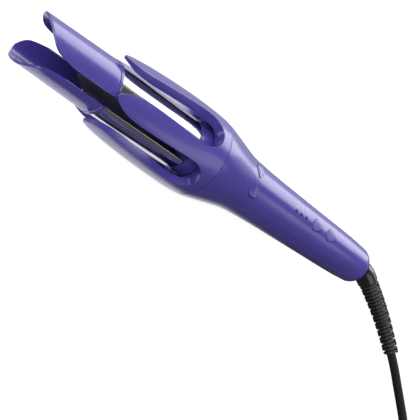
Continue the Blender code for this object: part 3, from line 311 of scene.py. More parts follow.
shot = {
    "place": (0.6456, 0.3837, 0.9100),
    "right": (-0.6997, -0.3075, 0.6449),
    "down": (-0.4337, 0.9001, -0.0413),
    "lens": 164.9,
}


def axes(place, *directions):
    return at(*place) @ Matrix(directions).transposed().to_4x4()


def setCamera():
    camera = added(bpy.ops.object.camera_add, "Camera", location=shot["place"])
    right = Vector(shot["right"]).normalized()
    back = right.cross(-Vector(shot["down"])).normalized()
    camera.matrix_world = axes(shot["place"], right, back.cross(right), back)
    camera.data.lens = shot["lens"]
    camera.data.clip_start = 0.05
    bpy.context.scene.camera = camera


setCamera()
print("camera set")


# Finishes: every one is mixed from noise on Object coordinates, so none is a flat colour

finishes, slotNames = {}, {}


def fill(tree, made, inputs):
    for key, value in inputs.items():  # a plain value, or the output of another node
        if isinstance(value, bpy.types.NodeSocket):
            tree.links.new(value, made.inputs[key])
        else:
            made.inputs[key].default_value = value


def node(tree, kind, inputs, **settings):
    made = tree.nodes.new("ShaderNode" + kind)
    for key, value in settings.items():
        setattr(made, key, value)
    fill(tree, made, inputs)
    return made


def newFinish(name, slot, colour, roughness, metallic=0.0):
    material = bpy.data.materials.new(name)
    material.use_nodes = True
    tree = material.node_tree
    shader = tree.nodes["Principled BSDF"]
    fill(tree, shader, {"Base Color": (*colour, 1), "Roughness": roughness, "Metallic": metallic})
    material.diffuse_color = (*colour, 1)
    finishes[name], slotNames[name] = material, slot
    return tree, shader, node(tree, "TexCoord", {}).outputs["Object"]


def stretched(tree, place, scale):
    facts = {"Scale": scale, "Rotation": (0, curler["tilt"], 0), "Vector": place}
    return node(tree, "Mapping", facts).outputs["Vector"]


def noise(tree, place, scale, detail=3.0):
    return node(tree, "TexNoise", {"Scale": scale, "Detail": detail, "Vector": place}).outputs["Fac"]


def spread(tree, value, low, high, start=0.3, end=0.7):
    facts = {"Value": value, "From Min": start, "From Max": end, "To Min": low, "To Max": high}
    return node(tree, "MapRange", facts).outputs["Result"]


def tint(tree, shader, value, first, second):
    made = node(tree, "Mix", {0: value, 6: (*first, 1), 7: (*second, 1)}, data_type="RGBA")
    tree.links.new(made.outputs[2], shader.inputs["Base Color"])


def rough(tree, shader, value, low, high):
    tree.links.new(spread(tree, value, low, high), shader.inputs["Roughness"])


def bump(tree, shader, value, strength, distance):
    made = node(tree, "Bump", {"Strength": strength, "Distance": distance, "Height": value})
    tree.links.new(made.outputs["Normal"], shader.inputs["Normal"])


def shade(colour, factor):
    return tuple(min(1.0, channel * factor) for channel in colour)


def mottle(tree, shader, value, colour, low, high):
    tint(tree, shader, spread(tree, value, 0, 1), shade(colour, low), shade(colour, high))


plastics = {
    # name: slot, colour, roughness, grain in 1/m, its strength, how far the colour wanders, coat
    "satinViolet": ("violet_plastic", (0.078, 0.057, 0.360), 0.25, 1500, 0.010, 0.05, 0.7),
    "buttonViolet": ("violet_plastic", (0.092, 0.070, 0.365), 0.32, 1700, 0.015, 0.04, 0.5),
    # the slot liner: dark plastic, tinted navy and darkened further as painted shade in the hair slot
    "slotDarkPlasticAndShade": ("dark_plastic", (0.022, 0.018, 0.082), 0.55, 1400, 0.12, 0.20, 0.0),
    "moulded": ("black_plastic", (0.016, 0.016, 0.018), 0.45, 1300, 0.15, 0.15, 0.0),
    "whiteNylon": ("white_plastic", (0.760, 0.750, 0.720), 0.48, 1100, 0.15, 0.03, 0.0),
    "cordRubber": ("rubber", (0.018, 0.018, 0.020), 0.36, 1800, 0.20, 0.18, 0.0),
    # the relief's ribs and core are lit and shaded copies of one rubber: painted highlight on the ribs,
    # painted shade on the core and its grooves
    "litRibRubber": ("rubber", (0.028, 0.028, 0.029), 0.30, 1600, 0.14, 0.15, 0.8),
    "shadedCoreRubber": ("rubber", (0.007, 0.007, 0.008), 0.26, 1600, 0.14, 0.15, 0.6),
    "paleInk": ("white_plastic", (0.720, 0.700, 0.830), 0.50, 2200, 0.10, 0.03, 0.0),
    "dimInk": ("white_plastic", (0.240, 0.205, 0.500), 0.45, 2200, 0.10, 0.03, 0.0),
    "smokedLens": ("light_pipe", (0.030, 0.020, 0.090), 0.12, 900, 0.02, 0.10, 0.0),
}
coatRoughness = 0.16
specular = {"coated": 0.9, "bare": 0.3}
plasticGrain = 0.00004
metalGrain = 0.00003


def mixPlastics():
    for name, (slot, colour, roughness, grain, strength, wander, coat) in plastics.items():
        tree, shader, place = newFinish(name, slot, colour, roughness)
        fill(tree, shader, {
            "Coat Weight": coat,
            "Coat Roughness": coatRoughness,
            "Specular IOR Level": specular["coated" if coat else "bare"],
        })
        broad = noise(tree, place, grain / 30, 4)
        fine = noise(tree, place, grain, 2)
        mottle(tree, shader, broad, colour, 1 - wander, 1 + wander)
        rough(tree, shader, noise(tree, place, grain / 12), roughness * 0.93, roughness * 1.07)
        bump(tree, shader, fine, strength, plasticGrain)


metals = {
    # name: slot, colour, roughness, how close the brushing is along x, y and z, its strength
    "mirrorChrome": ("chrome", (0.830, 0.830, 0.850), 0.13, (3000, 60, 60), 0.01),
    "brushedSteel": ("steel", (0.560, 0.565, 0.580), 0.32, (2500, 120, 120), 0.10),
    "castAluminium": ("aluminium", (0.700, 0.710, 0.730), 0.42, (900, 900, 900), 0.30),
    "turnedBrass": ("brass", (0.740, 0.560, 0.240), 0.28, (2800, 90, 90), 0.08),
    "nickelPin": ("brass", (0.720, 0.690, 0.620), 0.20, (2200, 150, 150), 0.05),
}


def mixMetals():
    for name, (slot, colour, roughness, stretch, strength) in metals.items():
        tree, shader, place = newFinish(name, slot, colour, roughness, 1.0)
        lines = noise(tree, stretched(tree, place, stretch), 1.0, 3)
        broad = noise(tree, place, 70, 3)
        mottle(tree, shader, broad, colour, 0.95, 1.03)
        rough(tree, shader, lines, roughness * 0.8, roughness * 1.25)
        bump(tree, shader, lines, strength, metalGrain)


def mixInside():
    green = (0.020, 0.150, 0.060)
    tree, shader, place = newFinish("circuitBoard", "circuit_board", green, 0.35)
    tracks = node(tree, "TexBrick", {
        "Scale": 260, "Mortar Size": 0.03, "Color1": (*green, 1), "Color2": (*shade(green, 0.8), 1),
        "Mortar": (0.05, 0.30, 0.12, 1), "Vector": place,
    })
    tree.links.new(tracks.outputs["Color"], shader.inputs["Base Color"])
    bump(tree, shader, tracks.outputs["Fac"], 0.3, 0.00004)
    ceramic = (0.800, 0.780, 0.720)
    tree, shader, place = newFinish("sinteredCeramic", "ceramic", ceramic, 0.6)
    grains = noise(tree, place, 2600, 5)
    mottle(tree, shader, grains, ceramic, 0.88, 1.04)
    bump(tree, shader, grains, 0.3, 0.00005)
    sleeve = (0.030, 0.070, 0.240)
    tree, shader, place = newFinish("capacitorSleeve", "capacitor_sleeve", sleeve, 0.25)
    bands = node(tree, "TexWave", {"Scale": 60, "Distortion": 0.4, "Vector": place})
    tint(tree, shader, spread(tree, bands.outputs["Fac"], 0, 1, 0.9, 0.95), sleeve, (0.5, 0.52, 0.56))
    clear = (0.780, 0.780, 0.880)
    tree, shader, place = newFinish("lightPipe", "light_pipe", clear, 0.15)
    fill(tree, shader, {"Transmission Weight": 0.4})
    mottle(tree, shader, noise(tree, place, 900), clear, 0.94, 1)


mixPlastics()
mixMetals()
mixInside()
print("finishes mixed:", len(finishes))


def paint(piece, finish):
    piece.data.materials.clear()
    piece.data.materials.append(finishes[finish])


def fit(piece, body, finish, *nodes):
    paint(piece, finish)
    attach(piece, body)
    if nodes:
        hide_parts(*nodes)


def mount(piece, body, finish, *nodes, angle=None):
    if angle:
        smooth(piece, angle)
    settle(piece)
    fit(piece, body, finish, *nodes)


# Cord: its route is the one of the part's solids, from the tip of the strain relief to the plug

cordFacts = {
    "radius": 0.003,
    "length": 1.811,
    "tip": (-0.0490, 0.0328, 0.0057),
    "gap": 0.0003,
    "out": Vector((-0.733, 0.672, -0.105)).normalized(),
    "route": (
        (-0.0602, 0.0437, 0.0044), (-0.0687, 0.0532, 0.0034), (-0.0763, 0.0628, 0.0031),
        (-0.0835, 0.0727, 0.0031), (-0.0896, 0.0838, 0.0031), (-0.0938, 0.0955, 0.0031),
    ),
    "coilCentre": (-0.0600, 0.1300, 0.0031),
    "coilRadius": 0.0316,
    "coilPitch": 0.0066,
    "layers": 4,
    "turns": 8.36,
    "pointsPerTurn": 24,
    "startAngle": math.radians(190),
    "tail": (-0.0260, 0.1585, 0.0195),
}
plugFacts = {
    "place": (0.0020, 0.1540, 0.00695),
    "angle": math.radians(1),
    "neck": 0.0110,
    "size": (0.0370, 0.0353, 0.0137),
    # (share of its length, share of half its width)
    "outline": (
        (0.0, 0.30), (0.06, 0.40), (0.30, 0.66), (0.48, 0.80), (0.62, 0.97), (0.80, 1.0), (1.0, 1.0),
    ),
    "rounding": 0.0026,
    # ridges on both faces and rings on the boot: the first one's value, and the step to the next
    "ridges": 5,
    "ridgePlace": (0.30, 0.085),
    "ridgeWidth": (0.19, 0.035),
    "ridgeLength": 0.0014,
    "ridgeHeight": 0.0008,
    "ridgeRounding": 0.00025,
    "rings": 6,
    "ringPlace": (0.0012, 0.0019),
    "ringRadius": (0.0038, 0.00022),
    "ringLength": 0.0011,
    "ringDepth": 0.0006,
    "pinRadius": 0.0020,
    "pinLength": 0.0190,
    "pinSpacing": 0.0190,
    "sleeveShare": 0.53,
    "sleeveWall": 0.0001,
}


def fromCordEnd(x, y, z):
    return Vector((x - curler["tableShift"], y, z))


def coilPoints():
    facts = cordFacts
    centre = fromCordEnd(*facts["coilCentre"])
    turns, layers, pitch = facts["turns"], facts["layers"], facts["coilPitch"]
    inLayer = turns / layers
    outer = facts["coilRadius"] + inLayer * pitch / 2
    steps = round(turns * facts["pointsPerTurn"])
    points = []
    for k in range(steps + 1):
        gone = turns * k / steps
        layer = min(int(gone / inLayer), layers - 1)
        along = gone - layer * inLayer
        if layer % 2:
            along = inLayer - along
        lift = 0.0
        for climb in range(1, layers):
            share = min(1.0, max(0.0, 2 * (gone - climb * inLayer) + 0.5))
            lift += pitch * share * share * (3 - 2 * share)
        radius = outer - pitch * along
        angle = facts["startAngle"] - 2 * math.pi * gone
        points.append(centre + Vector((radius * math.cos(angle), radius * math.sin(angle), lift)))
    return points


def nth(pair, k):
    return pair[0] + pair[1] * k


def makePlugBody():
    facts = plugFacts
    length, width, height = facts["size"]
    side = [(facts["neck"] + share * length, wide * width / 2) for share, wide in facts["outline"]]
    body = plate("plugBody", side + [(x, -y) for x, y in side[::-1]], -height / 2, height / 2)
    roundEdges(body, facts["rounding"], 5, 50)
    ridges = []
    for k in range(facts["ridges"]):
        start = facts["neck"] + length * nth(facts["ridgePlace"], k)
        end = start + facts["ridgeLength"]
        wide = width * nth(facts["ridgeWidth"], k)
        for face in (-1, 1):
            low = face * (height / 2 - facts["ridgeHeight"] / 4) - facts["ridgeHeight"] / 2
            corners = [(start, -wide), (end, -wide), (end, wide), (start, wide)]
            ridge = plate("plugRidge", corners, low, low + facts["ridgeHeight"])
            roundEdges(ridge, facts["ridgeRounding"], 2)
            ridges.append(ridge)
    return [body, *ridges]


def makeBoot():
    facts = plugFacts
    profile = [(0.0003, 0.0030), (0.0003, 0.0036)]
    for k in range(facts["rings"]):
        start, radius = nth(facts["ringPlace"], k), nth(facts["ringRadius"], k)
        end, groove = start + facts["ringLength"], radius - facts["ringDepth"]
        profile += [(start, radius), (end, radius), (end + 0.0002, groove), (end + 0.0006, groove)]
    profile += [(facts["neck"] + 0.0035, 0.0050), (facts["neck"] + 0.0040, 0.0030)]
    return turned("plugBoot", profile, 40)


def makePins(place):
    facts = plugFacts
    radius, reach = facts["pinRadius"], facts["pinLength"]
    thin = radius - facts["sleeveWall"]
    start = facts["neck"] + facts["size"][0] + 0.0003
    seam, end = start + reach * facts["sleeveShare"], start + reach
    sleeve = [(start, 0), (start, radius), (seam - reach * 0.01, radius), (seam, thin - 0.00005), (seam, 0)]
    tip = [(seam, 0), (seam, thin), (end - 0.0014, thin), (end - 0.0006, radius * 0.78),
           (end - 0.0001, radius * 0.4), (end, 0)]
    pins = []
    for side, hand in ((-1, "Right"), (1, "Left")):
        for label, shape in (("Sleeve", sleeve), ("Tip", tip)):
            pin = turned("pin" + label + hand, shape, 32)
            smooth(pin, 40)
            pins.append(settle(pin, place @ at(0, side * facts["pinSpacing"] / 2)))
    return pins


def makePlug(end):
    body, *ridges = makePlugBody()
    plug = joined("plug", body, makeBoot(), *ridges)
    smooth(plug, 38)
    place = at(*end) @ turn(plugFacts["angle"], "Z")
    return settle(plug, place), makePins(place)


def bent(a, b, leaving, arriving, count):
    return interpolate_bezier(a, a + leaving / 3, b - arriving / 3, b, count)


def makeCord():
    facts = cordFacts
    straight = 2 * facts["radius"]
    coil = coilPoints()
    into = (coil[1] - coil[0]).normalized()
    leaving = (coil[-1] - coil[-2]).normalized()
    out = facts["out"]
    tip = fromCordEnd(*facts["tip"]) + out * facts["gap"]
    plugEnd = fromCordEnd(*plugFacts["place"])
    facing = Vector((math.cos(plugFacts["angle"]), math.sin(plugFacts["angle"]), 0))
    points = [tip, tip + out * straight] + [fromCordEnd(*p) for p in facts["route"]]
    points += [coil[0] - into * 2 * straight, coil[0] - into * straight] + coil
    ends = [coil[-1], fromCordEnd(*facts["tail"]), plugEnd - facing * straight]
    handles = [leaving * (ends[1] - ends[0]).length, (ends[2] - ends[0]) / 2,
               facing * (ends[2] - ends[1]).length]
    for k in range(2):
        points += bent(*ends[k:k + 2], *handles[k:k + 2], 7)[1:]
    points += [plugEnd]
    cord = named(added(bpy.ops.curve.primitive_bezier_curve_add, "mainsCord"), "mainsCord")
    curve = cord.data
    spline = curve.splines[0]
    spline.bezier_points.add(len(points) - 2)
    for knot, where in zip(spline.bezier_points, points):
        knot.co = where
        knot.handle_left_type = knot.handle_right_type = "AUTO"
    curve.dimensions, curve.twist_mode, curve.use_fill_caps = "3D", "MINIMUM", True
    curve.bevel_depth, curve.bevel_resolution, curve.resolution_u = facts["radius"], 5, 5
    plug, pins = makePlug(plugEnd)
    fit(cord, "root", "cordRubber", "cord", "cord_coil")
    fit(plug, "root", "cordRubber", "plug_body")
    for k, pin in enumerate(pins):
        fit(pin, "root", "nickelPin" if k % 2 else "moulded", f"plug_pin_{k // 2 + 1}")
    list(pins)


makeCord()
print("cord and plug made")


# Strain relief: a smooth collar, a core, and ribs that are split into lumps, single and double; the ribs
# are painted lighter as highlight, and the core with the collar and groove floors darker as painted shade

relief = {
    "route": (
        (-0.0083, 0.0030, 0.0104), (-0.0220, 0.0115, 0.0088), (-0.0334, 0.0195, 0.0074),
        (-0.0423, 0.0269, 0.0064), (-0.0490, 0.0328, 0.0057),
    ),
    "overCord": 0.0054,
    # (place inside the handle, radius)
    "flange": ((0.0084, 0.0030), (0.0084, 0.0084), (0.0066, 0.0084), (0.0063, 0.0065)),
    "collarLength": 0.0115,
    # (share of collarLength, radius)
    "collar": ((0, 0.0065), (0.15, 0.0068), (0.4, 0.0070), (0.92, 0.0068), (0.99, 0.0065)),
    "firstRadius": 0.0065,
    "lastRadius": 0.0050,
    "ribDepth": 0.0014,
    "ribs": 20,
    "ribRounding": 0.00035,
    "lumps": (
        # middle and half of its angle in degrees, ribs that it takes up, share of them, where it starts
        (236, 66, 1, 0.52, 0.0), (132, 26, 2, 0.68, 0.5), (56, 38, 1, 0.52, 0.0), (-16, 26, 2, 0.68, 1.5),
    ),
}


def reliefPath():
    mouth = curlerPlace.translation
    inside = curlerPlace @ Vector((0.009, 0, 0))
    out = cordFacts["out"]
    points = [mouth] + [fromCordEnd(*p) for p in relief["route"]]
    last = len(points) - 1
    tangents = [(mouth - inside).normalized() * (points[1] - points[0]).length]
    tangents += [(points[k + 1] - points[k - 1]) / 2 for k in range(1, last)]
    tangents.append(out * (points[last] - points[last - 1]).length)
    fine = []
    for k in range(last):
        piece = bent(*points[k:k + 2], *tangents[k:k + 2], 30)
        fine += piece[:-1] if k < last - 1 else piece
    return fine + [fine[-1] + out * relief["overCord"]]


def alongPath(fine, reach):
    gone = 0.0
    for a, b in zip(fine, fine[1:]):
        step = (b - a).length
        if gone + step >= reach or b is fine[-1]:
            tangent = (b - a).normalized()
            side = tangent.cross(Vector((0, 0, 1))).normalized()
            return axes(a + tangent * (reach - gone), tangent, side, tangent.cross(side))
        gone += step


def crest(share):
    return relief["firstRadius"] + (relief["lastRadius"] - relief["firstRadius"]) * share


def reliefCore(fine, collar, reach):
    depth, end = relief["ribDepth"], collar + reach
    spans = [(-x, radius) for x, radius in relief["flange"]]
    spans += [(collar * share, radius) for share, radius in relief["collar"]]
    spans += [(collar + reach * k / 24, crest(k / 24) - depth) for k in range(24)]
    spans += [(end - 0.0004, crest(1) - depth), (end, 0.0034)]

    def spot(u, v):
        reachHere, radius = spans[round(u * (len(spans) - 1))]
        if reachHere < 0:
            return curlerPlace @ onRound(-reachHere, radius, math.pi * v)
        return alongPath(fine, reachHere) @ onRound(0, radius, math.pi * v)

    return cleaned(curvedSheet("reliefCore", len(spans) - 1, 48, spot), merge=0.000002, fill=True)


def reliefRibs(fine, collar, reach):
    lumps = []
    for middle, half, taken, share, first in relief["lumps"]:
        length, wide = reach / relief["ribs"] * taken * share, math.radians(half)

        def lumpSpot(u, v):
            return onRound((u - 0.5) * length, 1, v * wide)

        model = curvedSheet("reliefLump", 2, max(6, half // 4), lumpSpot)
        thicken(model, 0.30)  # a share of the crest's radius
        rib = first + taken / 2
        while rib < relief["ribs"] - 0.3:
            along = rib / relief["ribs"]
            place = alongPath(fine, collar + reach * along) @ turn(math.radians(middle))
            lumps.append(copied(model, place @ Matrix.Diagonal((1, crest(along), crest(along), 1))))
            rib += taken
        discard(model)
    ribs = joined("reliefRibs", *lumps)
    roundEdges(ribs, relief["ribRounding"], 3, 50)
    return ribs


def makeRelief():
    fine = reliefPath()
    collar = relief["collarLength"]
    reach = lengths(fine)[-1] - collar
    # the core takes the darker rubber as painted shade in the grooves, the ribs the lighter one as painted
    # highlight
    for make, finish in ((reliefCore, "shadedCoreRubber"), (reliefRibs, "litRibRubber")):
        made = make(fine, collar, reach)
        smooth(made, 42)
        fit(made, "root", finish, "strain_relief")


makeRelief()
print("strain relief made")


# Handle: two turned half shells with the openings for buttons, keys and lamps

handle = {
    # (share of the handle's length, share of the neck's radius)
    "outline": (
        (0.054, 0.467), (0.148, 0.512), (0.317, 0.553), (0.482, 0.592), (0.627, 0.632), (0.753, 0.686),
        (0.810, 0.738), (0.867, 0.822), (0.925, 0.911), (0.964, 0.965), (1.0, 1.0),
    ),
    "wall": 0.0020,
    # (x, radius) of the rounded cord end and of the mouth that holds the strain relief
    "cordEnd": (
        (0.0026, 0.00685), (0.0027, 0.0073), (0.0032, 0.0085), (0.0041, 0.0097), (0.0054, 0.0108),
        (0.0070, 0.0117),
    ),
    "mouth": ((0.0087, 0.0089), (0.0063, 0.0089), (0.0043, 0.0069), (0.0026, 0.0068)),
    "outside": (0.0090, 0.1657),
    "inside": (0.0105, 0.1655),
    "seam": 0.00006,
    "screws": ((0.0310, 0.0068), (0.0310, -0.0068), (0.1010, 0.0)),
    "screwSeat": 0.0052,
    "wellFloor": 0.0012,
    "wellRadius": 0.0023,
    "wellWall": 0.0008,
}
panel = {
    "buttonSize": (0.0096, 0.0073),
    "buttonTaper": 0.34,
    "buttonProud": 0.00035,
    "keySize": (0.0078, 0.0070),
    "keyTaper": 0.68,
    "keyProud": 0.00055,
    "keyDish": 0.0006,
    # caps: how square their section is, how flat their top, and the height of their round parts
    "capPower": 0.42,
    "capFlatness": 0.75,
    "capRound": 0.0007,
    "capSkirt": 0.0016,
    "flange": 0.0007,
    "flangeDepth": 0.0040,
    "flangeWall": 0.0012,
    "stemRadius": 0.0015,
    "buttonStem": 0.0096,
    "keyStem": (0.0102, 0.0150),
    "gap": 0.00030,
    "power": 0.0660,
    "heat": 0.0506,
    "key": 0.1290,
    "keyOffset": 0.0063,
    "lamps": (0.0777, 0.0830, 0.0883),
    "lampHole": 0.0011,
    "lampRadius": 0.0009,
    "pipeRadius": 0.0008,
    "pipeFoot": 0.0051,
    "labels": ("160", "180", "200"),
    "labelSize": 0.0027,
    "labelStart": 0.0022,
    "labelRise": 0.00004,
    "signRise": 0.00040,
    "signWidth": 0.00026,
    "waveWidth": 0.00030,
}


def handleRadius(x):
    return curler["neckRadius"] * smoothValue(handle["outline"], x / curler["handleLength"])


def handleProfile():
    wall, end = handle["wall"], curler["neckRadius"]
    outer = list(handle["cordEnd"]) + [(x, handleRadius(x)) for x in stations(*handle["outside"], 84)]
    rim = [(0.1659, end - 0.00010), (0.1660, end - 0.00030), (0.1660, end - wall)]
    inner = [(x, handleRadius(x) - wall) for x in stations(*handle["inside"], 16)[:0:-1]]
    return outer + rim + inner + list(handle["mouth"])


def makeWell(x, y):
    skin = 0.0006 - math.sqrt(handleRadius(x) ** 2 - y * y)
    seat, radius = -handle["screwSeat"], handle["wellRadius"]
    floor, outside = seat + handle["wellFloor"], radius + handle["wellWall"]
    return standing("well", [
        (skin, outside), (floor, outside), (floor, 0.0012), (seat, 0.0012), (seat, radius), (skin, radius),
    ], 32, x, y)


def makeHandle():
    under = turned("handleUnder", handleProfile(), 72, half=True)  # the half turn goes through -z
    for vertex in under.data.vertices:
        if abs(vertex.co.z) < 0.000001:
            vertex.co.z = -handle["seam"]
    top = named(copied(under, turn(math.pi)), "handleTop")
    button = egg(panel["buttonSize"], panel["buttonTaper"], panel["gap"])
    key = egg(panel["keySize"], panel["keyTaper"], panel["gap"])
    openings = [(button, at(panel[name])) for name in ("power", "heat")]
    for side in (1, -1):
        place = at(panel["key"], side * panel["keyOffset"])
        openings.append((key, place @ turn(side * math.pi / 2, "Z")))
    openings += [(disc(panel["lampHole"], 24), at(x)) for x in panel["lamps"]]
    cutAway(top, *[settle(plate("hole", outline, 0.0, 0.05), place) for outline, place in openings])
    pocket = disc(handle["wellRadius"], 32)
    cutAway(under, *[settle(plate("pocket", pocket, -0.05, -handle["screwSeat"]), at(*spot))
                     for spot in handle["screws"]])
    under = joined("handleUnder", under, *[makeWell(*spot) for spot in handle["screws"]])
    for shell, name in ((top, "handle_top_shell"), (under, "handle_bottom_shell")):
        mount(shell, "root", "satinViolet", name, angle=32)


makeHandle()
print("handle made")


# Buttons and keys: a pebble on the handle's skin, with its flange and stem behind the shell

def capTop(x, y, middle):
    radius = handleRadius(x)
    skin = math.sqrt(radius * radius - y * y)
    flat = math.sqrt(radius * radius - middle * middle)
    share = panel["capFlatness"]
    return (1 - share) * skin + share * (flat - middle / flat * (y - middle))


def pebble(name, size, taper, spot, facing, proud, dish):
    cap = added(bpy.ops.mesh.primitive_uv_sphere_add, name, segments=56, ring_count=28, radius=1)
    rotate = Matrix.Rotation(facing, 3, "Z")
    power = panel["capPower"]
    for vertex in cap.data.vertices:
        polar = math.acos(max(-1.0, min(1.0, vertex.co.z)))
        around = math.atan2(vertex.co.y, vertex.co.x)
        reach = abs(math.sin(polar)) ** power
        height = abs(math.cos(polar)) ** power * (1 if vertex.co.z > 0 else -1)
        x = size[0] / 2 * math.cos(around) * reach
        y = size[1] / 2 * math.sin(around) * reach * (1 + taper * math.cos(around))
        flat = rotate @ Vector((x, y, 0))
        x, y = flat.x + spot[0], flat.y + spot[1]
        if height > 0:
            drop = dish * (1 - reach * reach) + panel["capRound"] * (1 - height)
        else:
            drop = panel["capRound"] - panel["capSkirt"] * height
        vertex.co = (x, y, capTop(x, y, spot[1]) + proud - drop)
    return cap


def ribbon(name, line, width, count=24):
    def spot(u, v):
        here, ahead = line((v + 1) / 2 - 0.005), line((v + 1) / 2 + 0.005)
        along = (ahead - here).normalized()
        flat = (here + ahead) / 2 - Vector((-along.y, along.x)) * (u - 0.5) * width
        return Vector((flat.x, flat.y, capTop(flat.x, flat.y, 0) + panel["signRise"]))

    made = cleaned(curvedSheet(name, 2, count, spot))
    flipIf(sum(face.normal.z for face in made.data.polygons) < 0, made)
    thicken(made, 0.00012)
    return made


def makeStem(low, high, x, y=0.0):
    radius = panel["stemRadius"]
    return standing("stem", [(low, 0), (low, radius), (high, radius), (high, 0)], 24, x, y)


def makeButtons():
    size, taper = panel["buttonSize"], panel["buttonTaper"]
    for name in ("power", "heat"):
        x = panel[name]
        floor = handleRadius(x) - panel["flangeDepth"]
        cap = pebble(name + "Button", size, taper, (x, 0), 0, panel["buttonProud"], 0.0)
        outline = egg(size, taper, panel["flange"])
        flange = plate("flange", outline, floor, floor + panel["flangeWall"])
        stem = makeStem(panel["buttonStem"], floor + 0.0006, x)
        cap = joined(name + "Button", cap, settle(flange, at(x)), stem)
        mount(cap, name + "_button", "buttonViolet", name + "_button", angle=50)
    size, taper = panel["keySize"], panel["keyTaper"]
    for name, side in (("left", 1), ("right", -1)):
        spot = (panel["key"], side * panel["keyOffset"])
        facing = side * math.pi / 2
        cap = pebble(name + "Key", size, taper, spot, facing, panel["keyProud"], panel["keyDish"])
        cap = joined(name + "Key", cap, makeStem(*panel["keyStem"], *spot))
        mount(cap, name + "_key", "buttonViolet", name + "_key", angle=50)


def makeSymbols():
    middle = panel["power"]

    def arc(t):
        angle = math.radians(50 + 260 * t)
        return Vector((middle + 0.0013 * math.cos(angle), 0.0013 * math.sin(angle)))

    def bar(t):
        return Vector((middle + 0.0004 + 0.0014 * t, 0))

    wide = panel["signWidth"]
    power = joined("powerSign", ribbon("arc", arc, wide), ribbon("bar", bar, wide, 4))
    mount(power, "power_button", "buttonViolet")
    waves = []
    for k in (-1, 0, 1):
        def wave(t):
            bend = 0.0012 * k + 0.00028 * math.sin(2 * math.pi * t)
            return Vector((panel["heat"] - 0.0016 + 0.0032 * t, bend))

        waves.append(ribbon("wave", wave, panel["waveWidth"]))
    mount(joined("heatSign", *waves), "heat_button", "dimInk")


def makeLabel(name, words, x):
    label = added(bpy.ops.object.text_add, name)
    label.data.body = words
    label.data.size = panel["labelSize"]
    label.data.space_character = 1.15
    bpy.ops.object.convert(target="MESH")
    label = named(bpy.context.object, name)
    corners = label.data.vertices
    middle = sum(corner.co.y for corner in corners) / len(corners)
    for corner in corners:  # the words' own x runs round the handle
        along, around = x + corner.co.y - middle, panel["labelStart"] + corner.co.x
        radius = handleRadius(along) + panel["labelRise"]
        corner.co = onRound(along, radius, around / radius)
    mount(label, "root", "paleInk")


def makeLamps():
    wide, pipe, foot = panel["lampRadius"], panel["pipeRadius"], panel["pipeFoot"]
    for k, x in enumerate(panel["lamps"]):
        skin = handleRadius(x)
        lens = standing(f"lampLens{k + 1}", [
            (foot, 0), (foot, pipe), (skin - 0.0015, pipe), (skin - 0.0014, wide), (skin - 0.0001, wide),
            (skin + 0.00005, wide * 0.8), (skin + 0.00016, wide * 0.45), (skin + 0.0002, 0),
        ], 28, x)
        mount(lens, "root", "smokedLens", f"light_pipe_{k + 1}", angle=50)
        makeLabel(f"lampLabel{k + 1}", panel["labels"][k], x)


makeButtons()
makeSymbols()
makeLamps()
print("buttons, keys and lamps made")


# Cage: one fifth is a curved sheet, copied round and merged into a ring with five petals

cage = {
    "length": 0.088,
    # (share of its length, share of the neck's radius)
    "outline": (
        (0.0, 1.0), (0.12, 1.018), (0.28, 1.024), (0.49, 1.006), (0.73, 0.960), (0.94, 0.890), (1.0, 0.870),
    ),
    "wall": 0.0023,
    "petals": 5,
    "firstPetal": math.radians(-22),
    "gapHalf": 0.0108,
    # half of the gap between two petals: (root of the share along it, share of gapHalf)
    "gapOutline": (
        (0.0, 0.0), (0.0707, 0.26), (0.173, 0.60), (0.274, 0.86), (0.381, 0.99), (0.490, 1.0),
        (0.640, 0.92), (0.755, 0.85), (0.843, 0.80), (0.894, 0.79), (0.935, 0.84), (0.9695, 0.98),
        (0.990, 1.11), (1.0, 1.22),
    ),
    "outlinePoints": 92,
    # rows of faces: (how far they are from the rim, share of the way to the spine)
    "rows": (
        (0, 0), (0.0008, 0), (0.0018, 0.02), (0.0026, 0.2), (0.003, 0.42), (0.003, 0.64), (0.002, 0.83),
        (0, 1),
    ),
    "rowRoom": 0.004,
    # the spine: where it turns, how far it lags behind the rim at two places, and where it ends
    "cornerReach": 0.009,
    "lag": ((0.0195, 0.002), (0.071, 0.004)),
    "tipReach": 0.0070,
    "flatRadius": 0.0245,
    "edge": 0.00065,
    "thinning": ((0.0, 1.0), (0.72, 1.0), (0.90, 0.72), (1.0, 0.36)),
    "rimDepth": 0.0055,
    "innerClear": 0.0186,
    # rings at the gaps' bottom: (x from there, radius)
    "floor": ((-0.0020, 0.0183), (-0.0003, 0.0183), (0, 0.0186), (0, 0.0246), (-0.0020, 0.0246)),
    "spigot": (
        (-0.0105, 0.0221), (-0.0105, 0.0243), (-0.0065, 0.0243), (-0.0015, 0.0246), (-0.0015, 0.0221),
    ),
}


def cageRadius(x):
    return curler["neckRadius"] * smoothValue(cage["outline"], (x - curler["cageStart"]) / cage["length"])


def petalEdge(root):
    start = curler["slotBottom"]
    x = start + root * root * (curler["cageStart"] + cage["length"] - start)
    gap = smoothValue(cage["gapOutline"], root) * cage["gapHalf"]
    return x, math.pi / cage["petals"] - math.asin(min(1.0, gap / cageRadius(x)))


def petalOutline(wide, flat):
    low, high = 0.9, 1.0
    for _ in range(40):  # the place at which the petal's half angle is nought
        middle = (low + high) / 2
        low, high = (middle, high) if petalEdge(middle)[1] > 0 else (low, middle)
    fine = []
    for k in range(401):
        x, angle = petalEdge(low * math.sin(math.pi / 2 * k / 400))
        fine.append(Vector((x, wide - max(0.0, angle) * flat)))
    fine[-1].y = wide
    return evenly(fine, cage["outlinePoints"])


def petalSpine(outline, wide):
    start, bottom = curler["cageStart"], curler["slotBottom"]
    gone = lengths(outline)
    table = [(0.0, 0.0), (cage["cornerReach"], wide)]
    for place, lag in cage["lag"]:
        k = next(k for k, spot in enumerate(outline) if spot.x > bottom + place)
        table.append((gone[k], wide + outline[k].x - lag - start))
    table.append((gone[-1], wide + outline[-1].x - cage["tipReach"] - start))
    reach = [valueAt(table, length) for length in gone]
    return [Vector((start + max(0.0, along - wide), min(along, wide))) for along in reach]


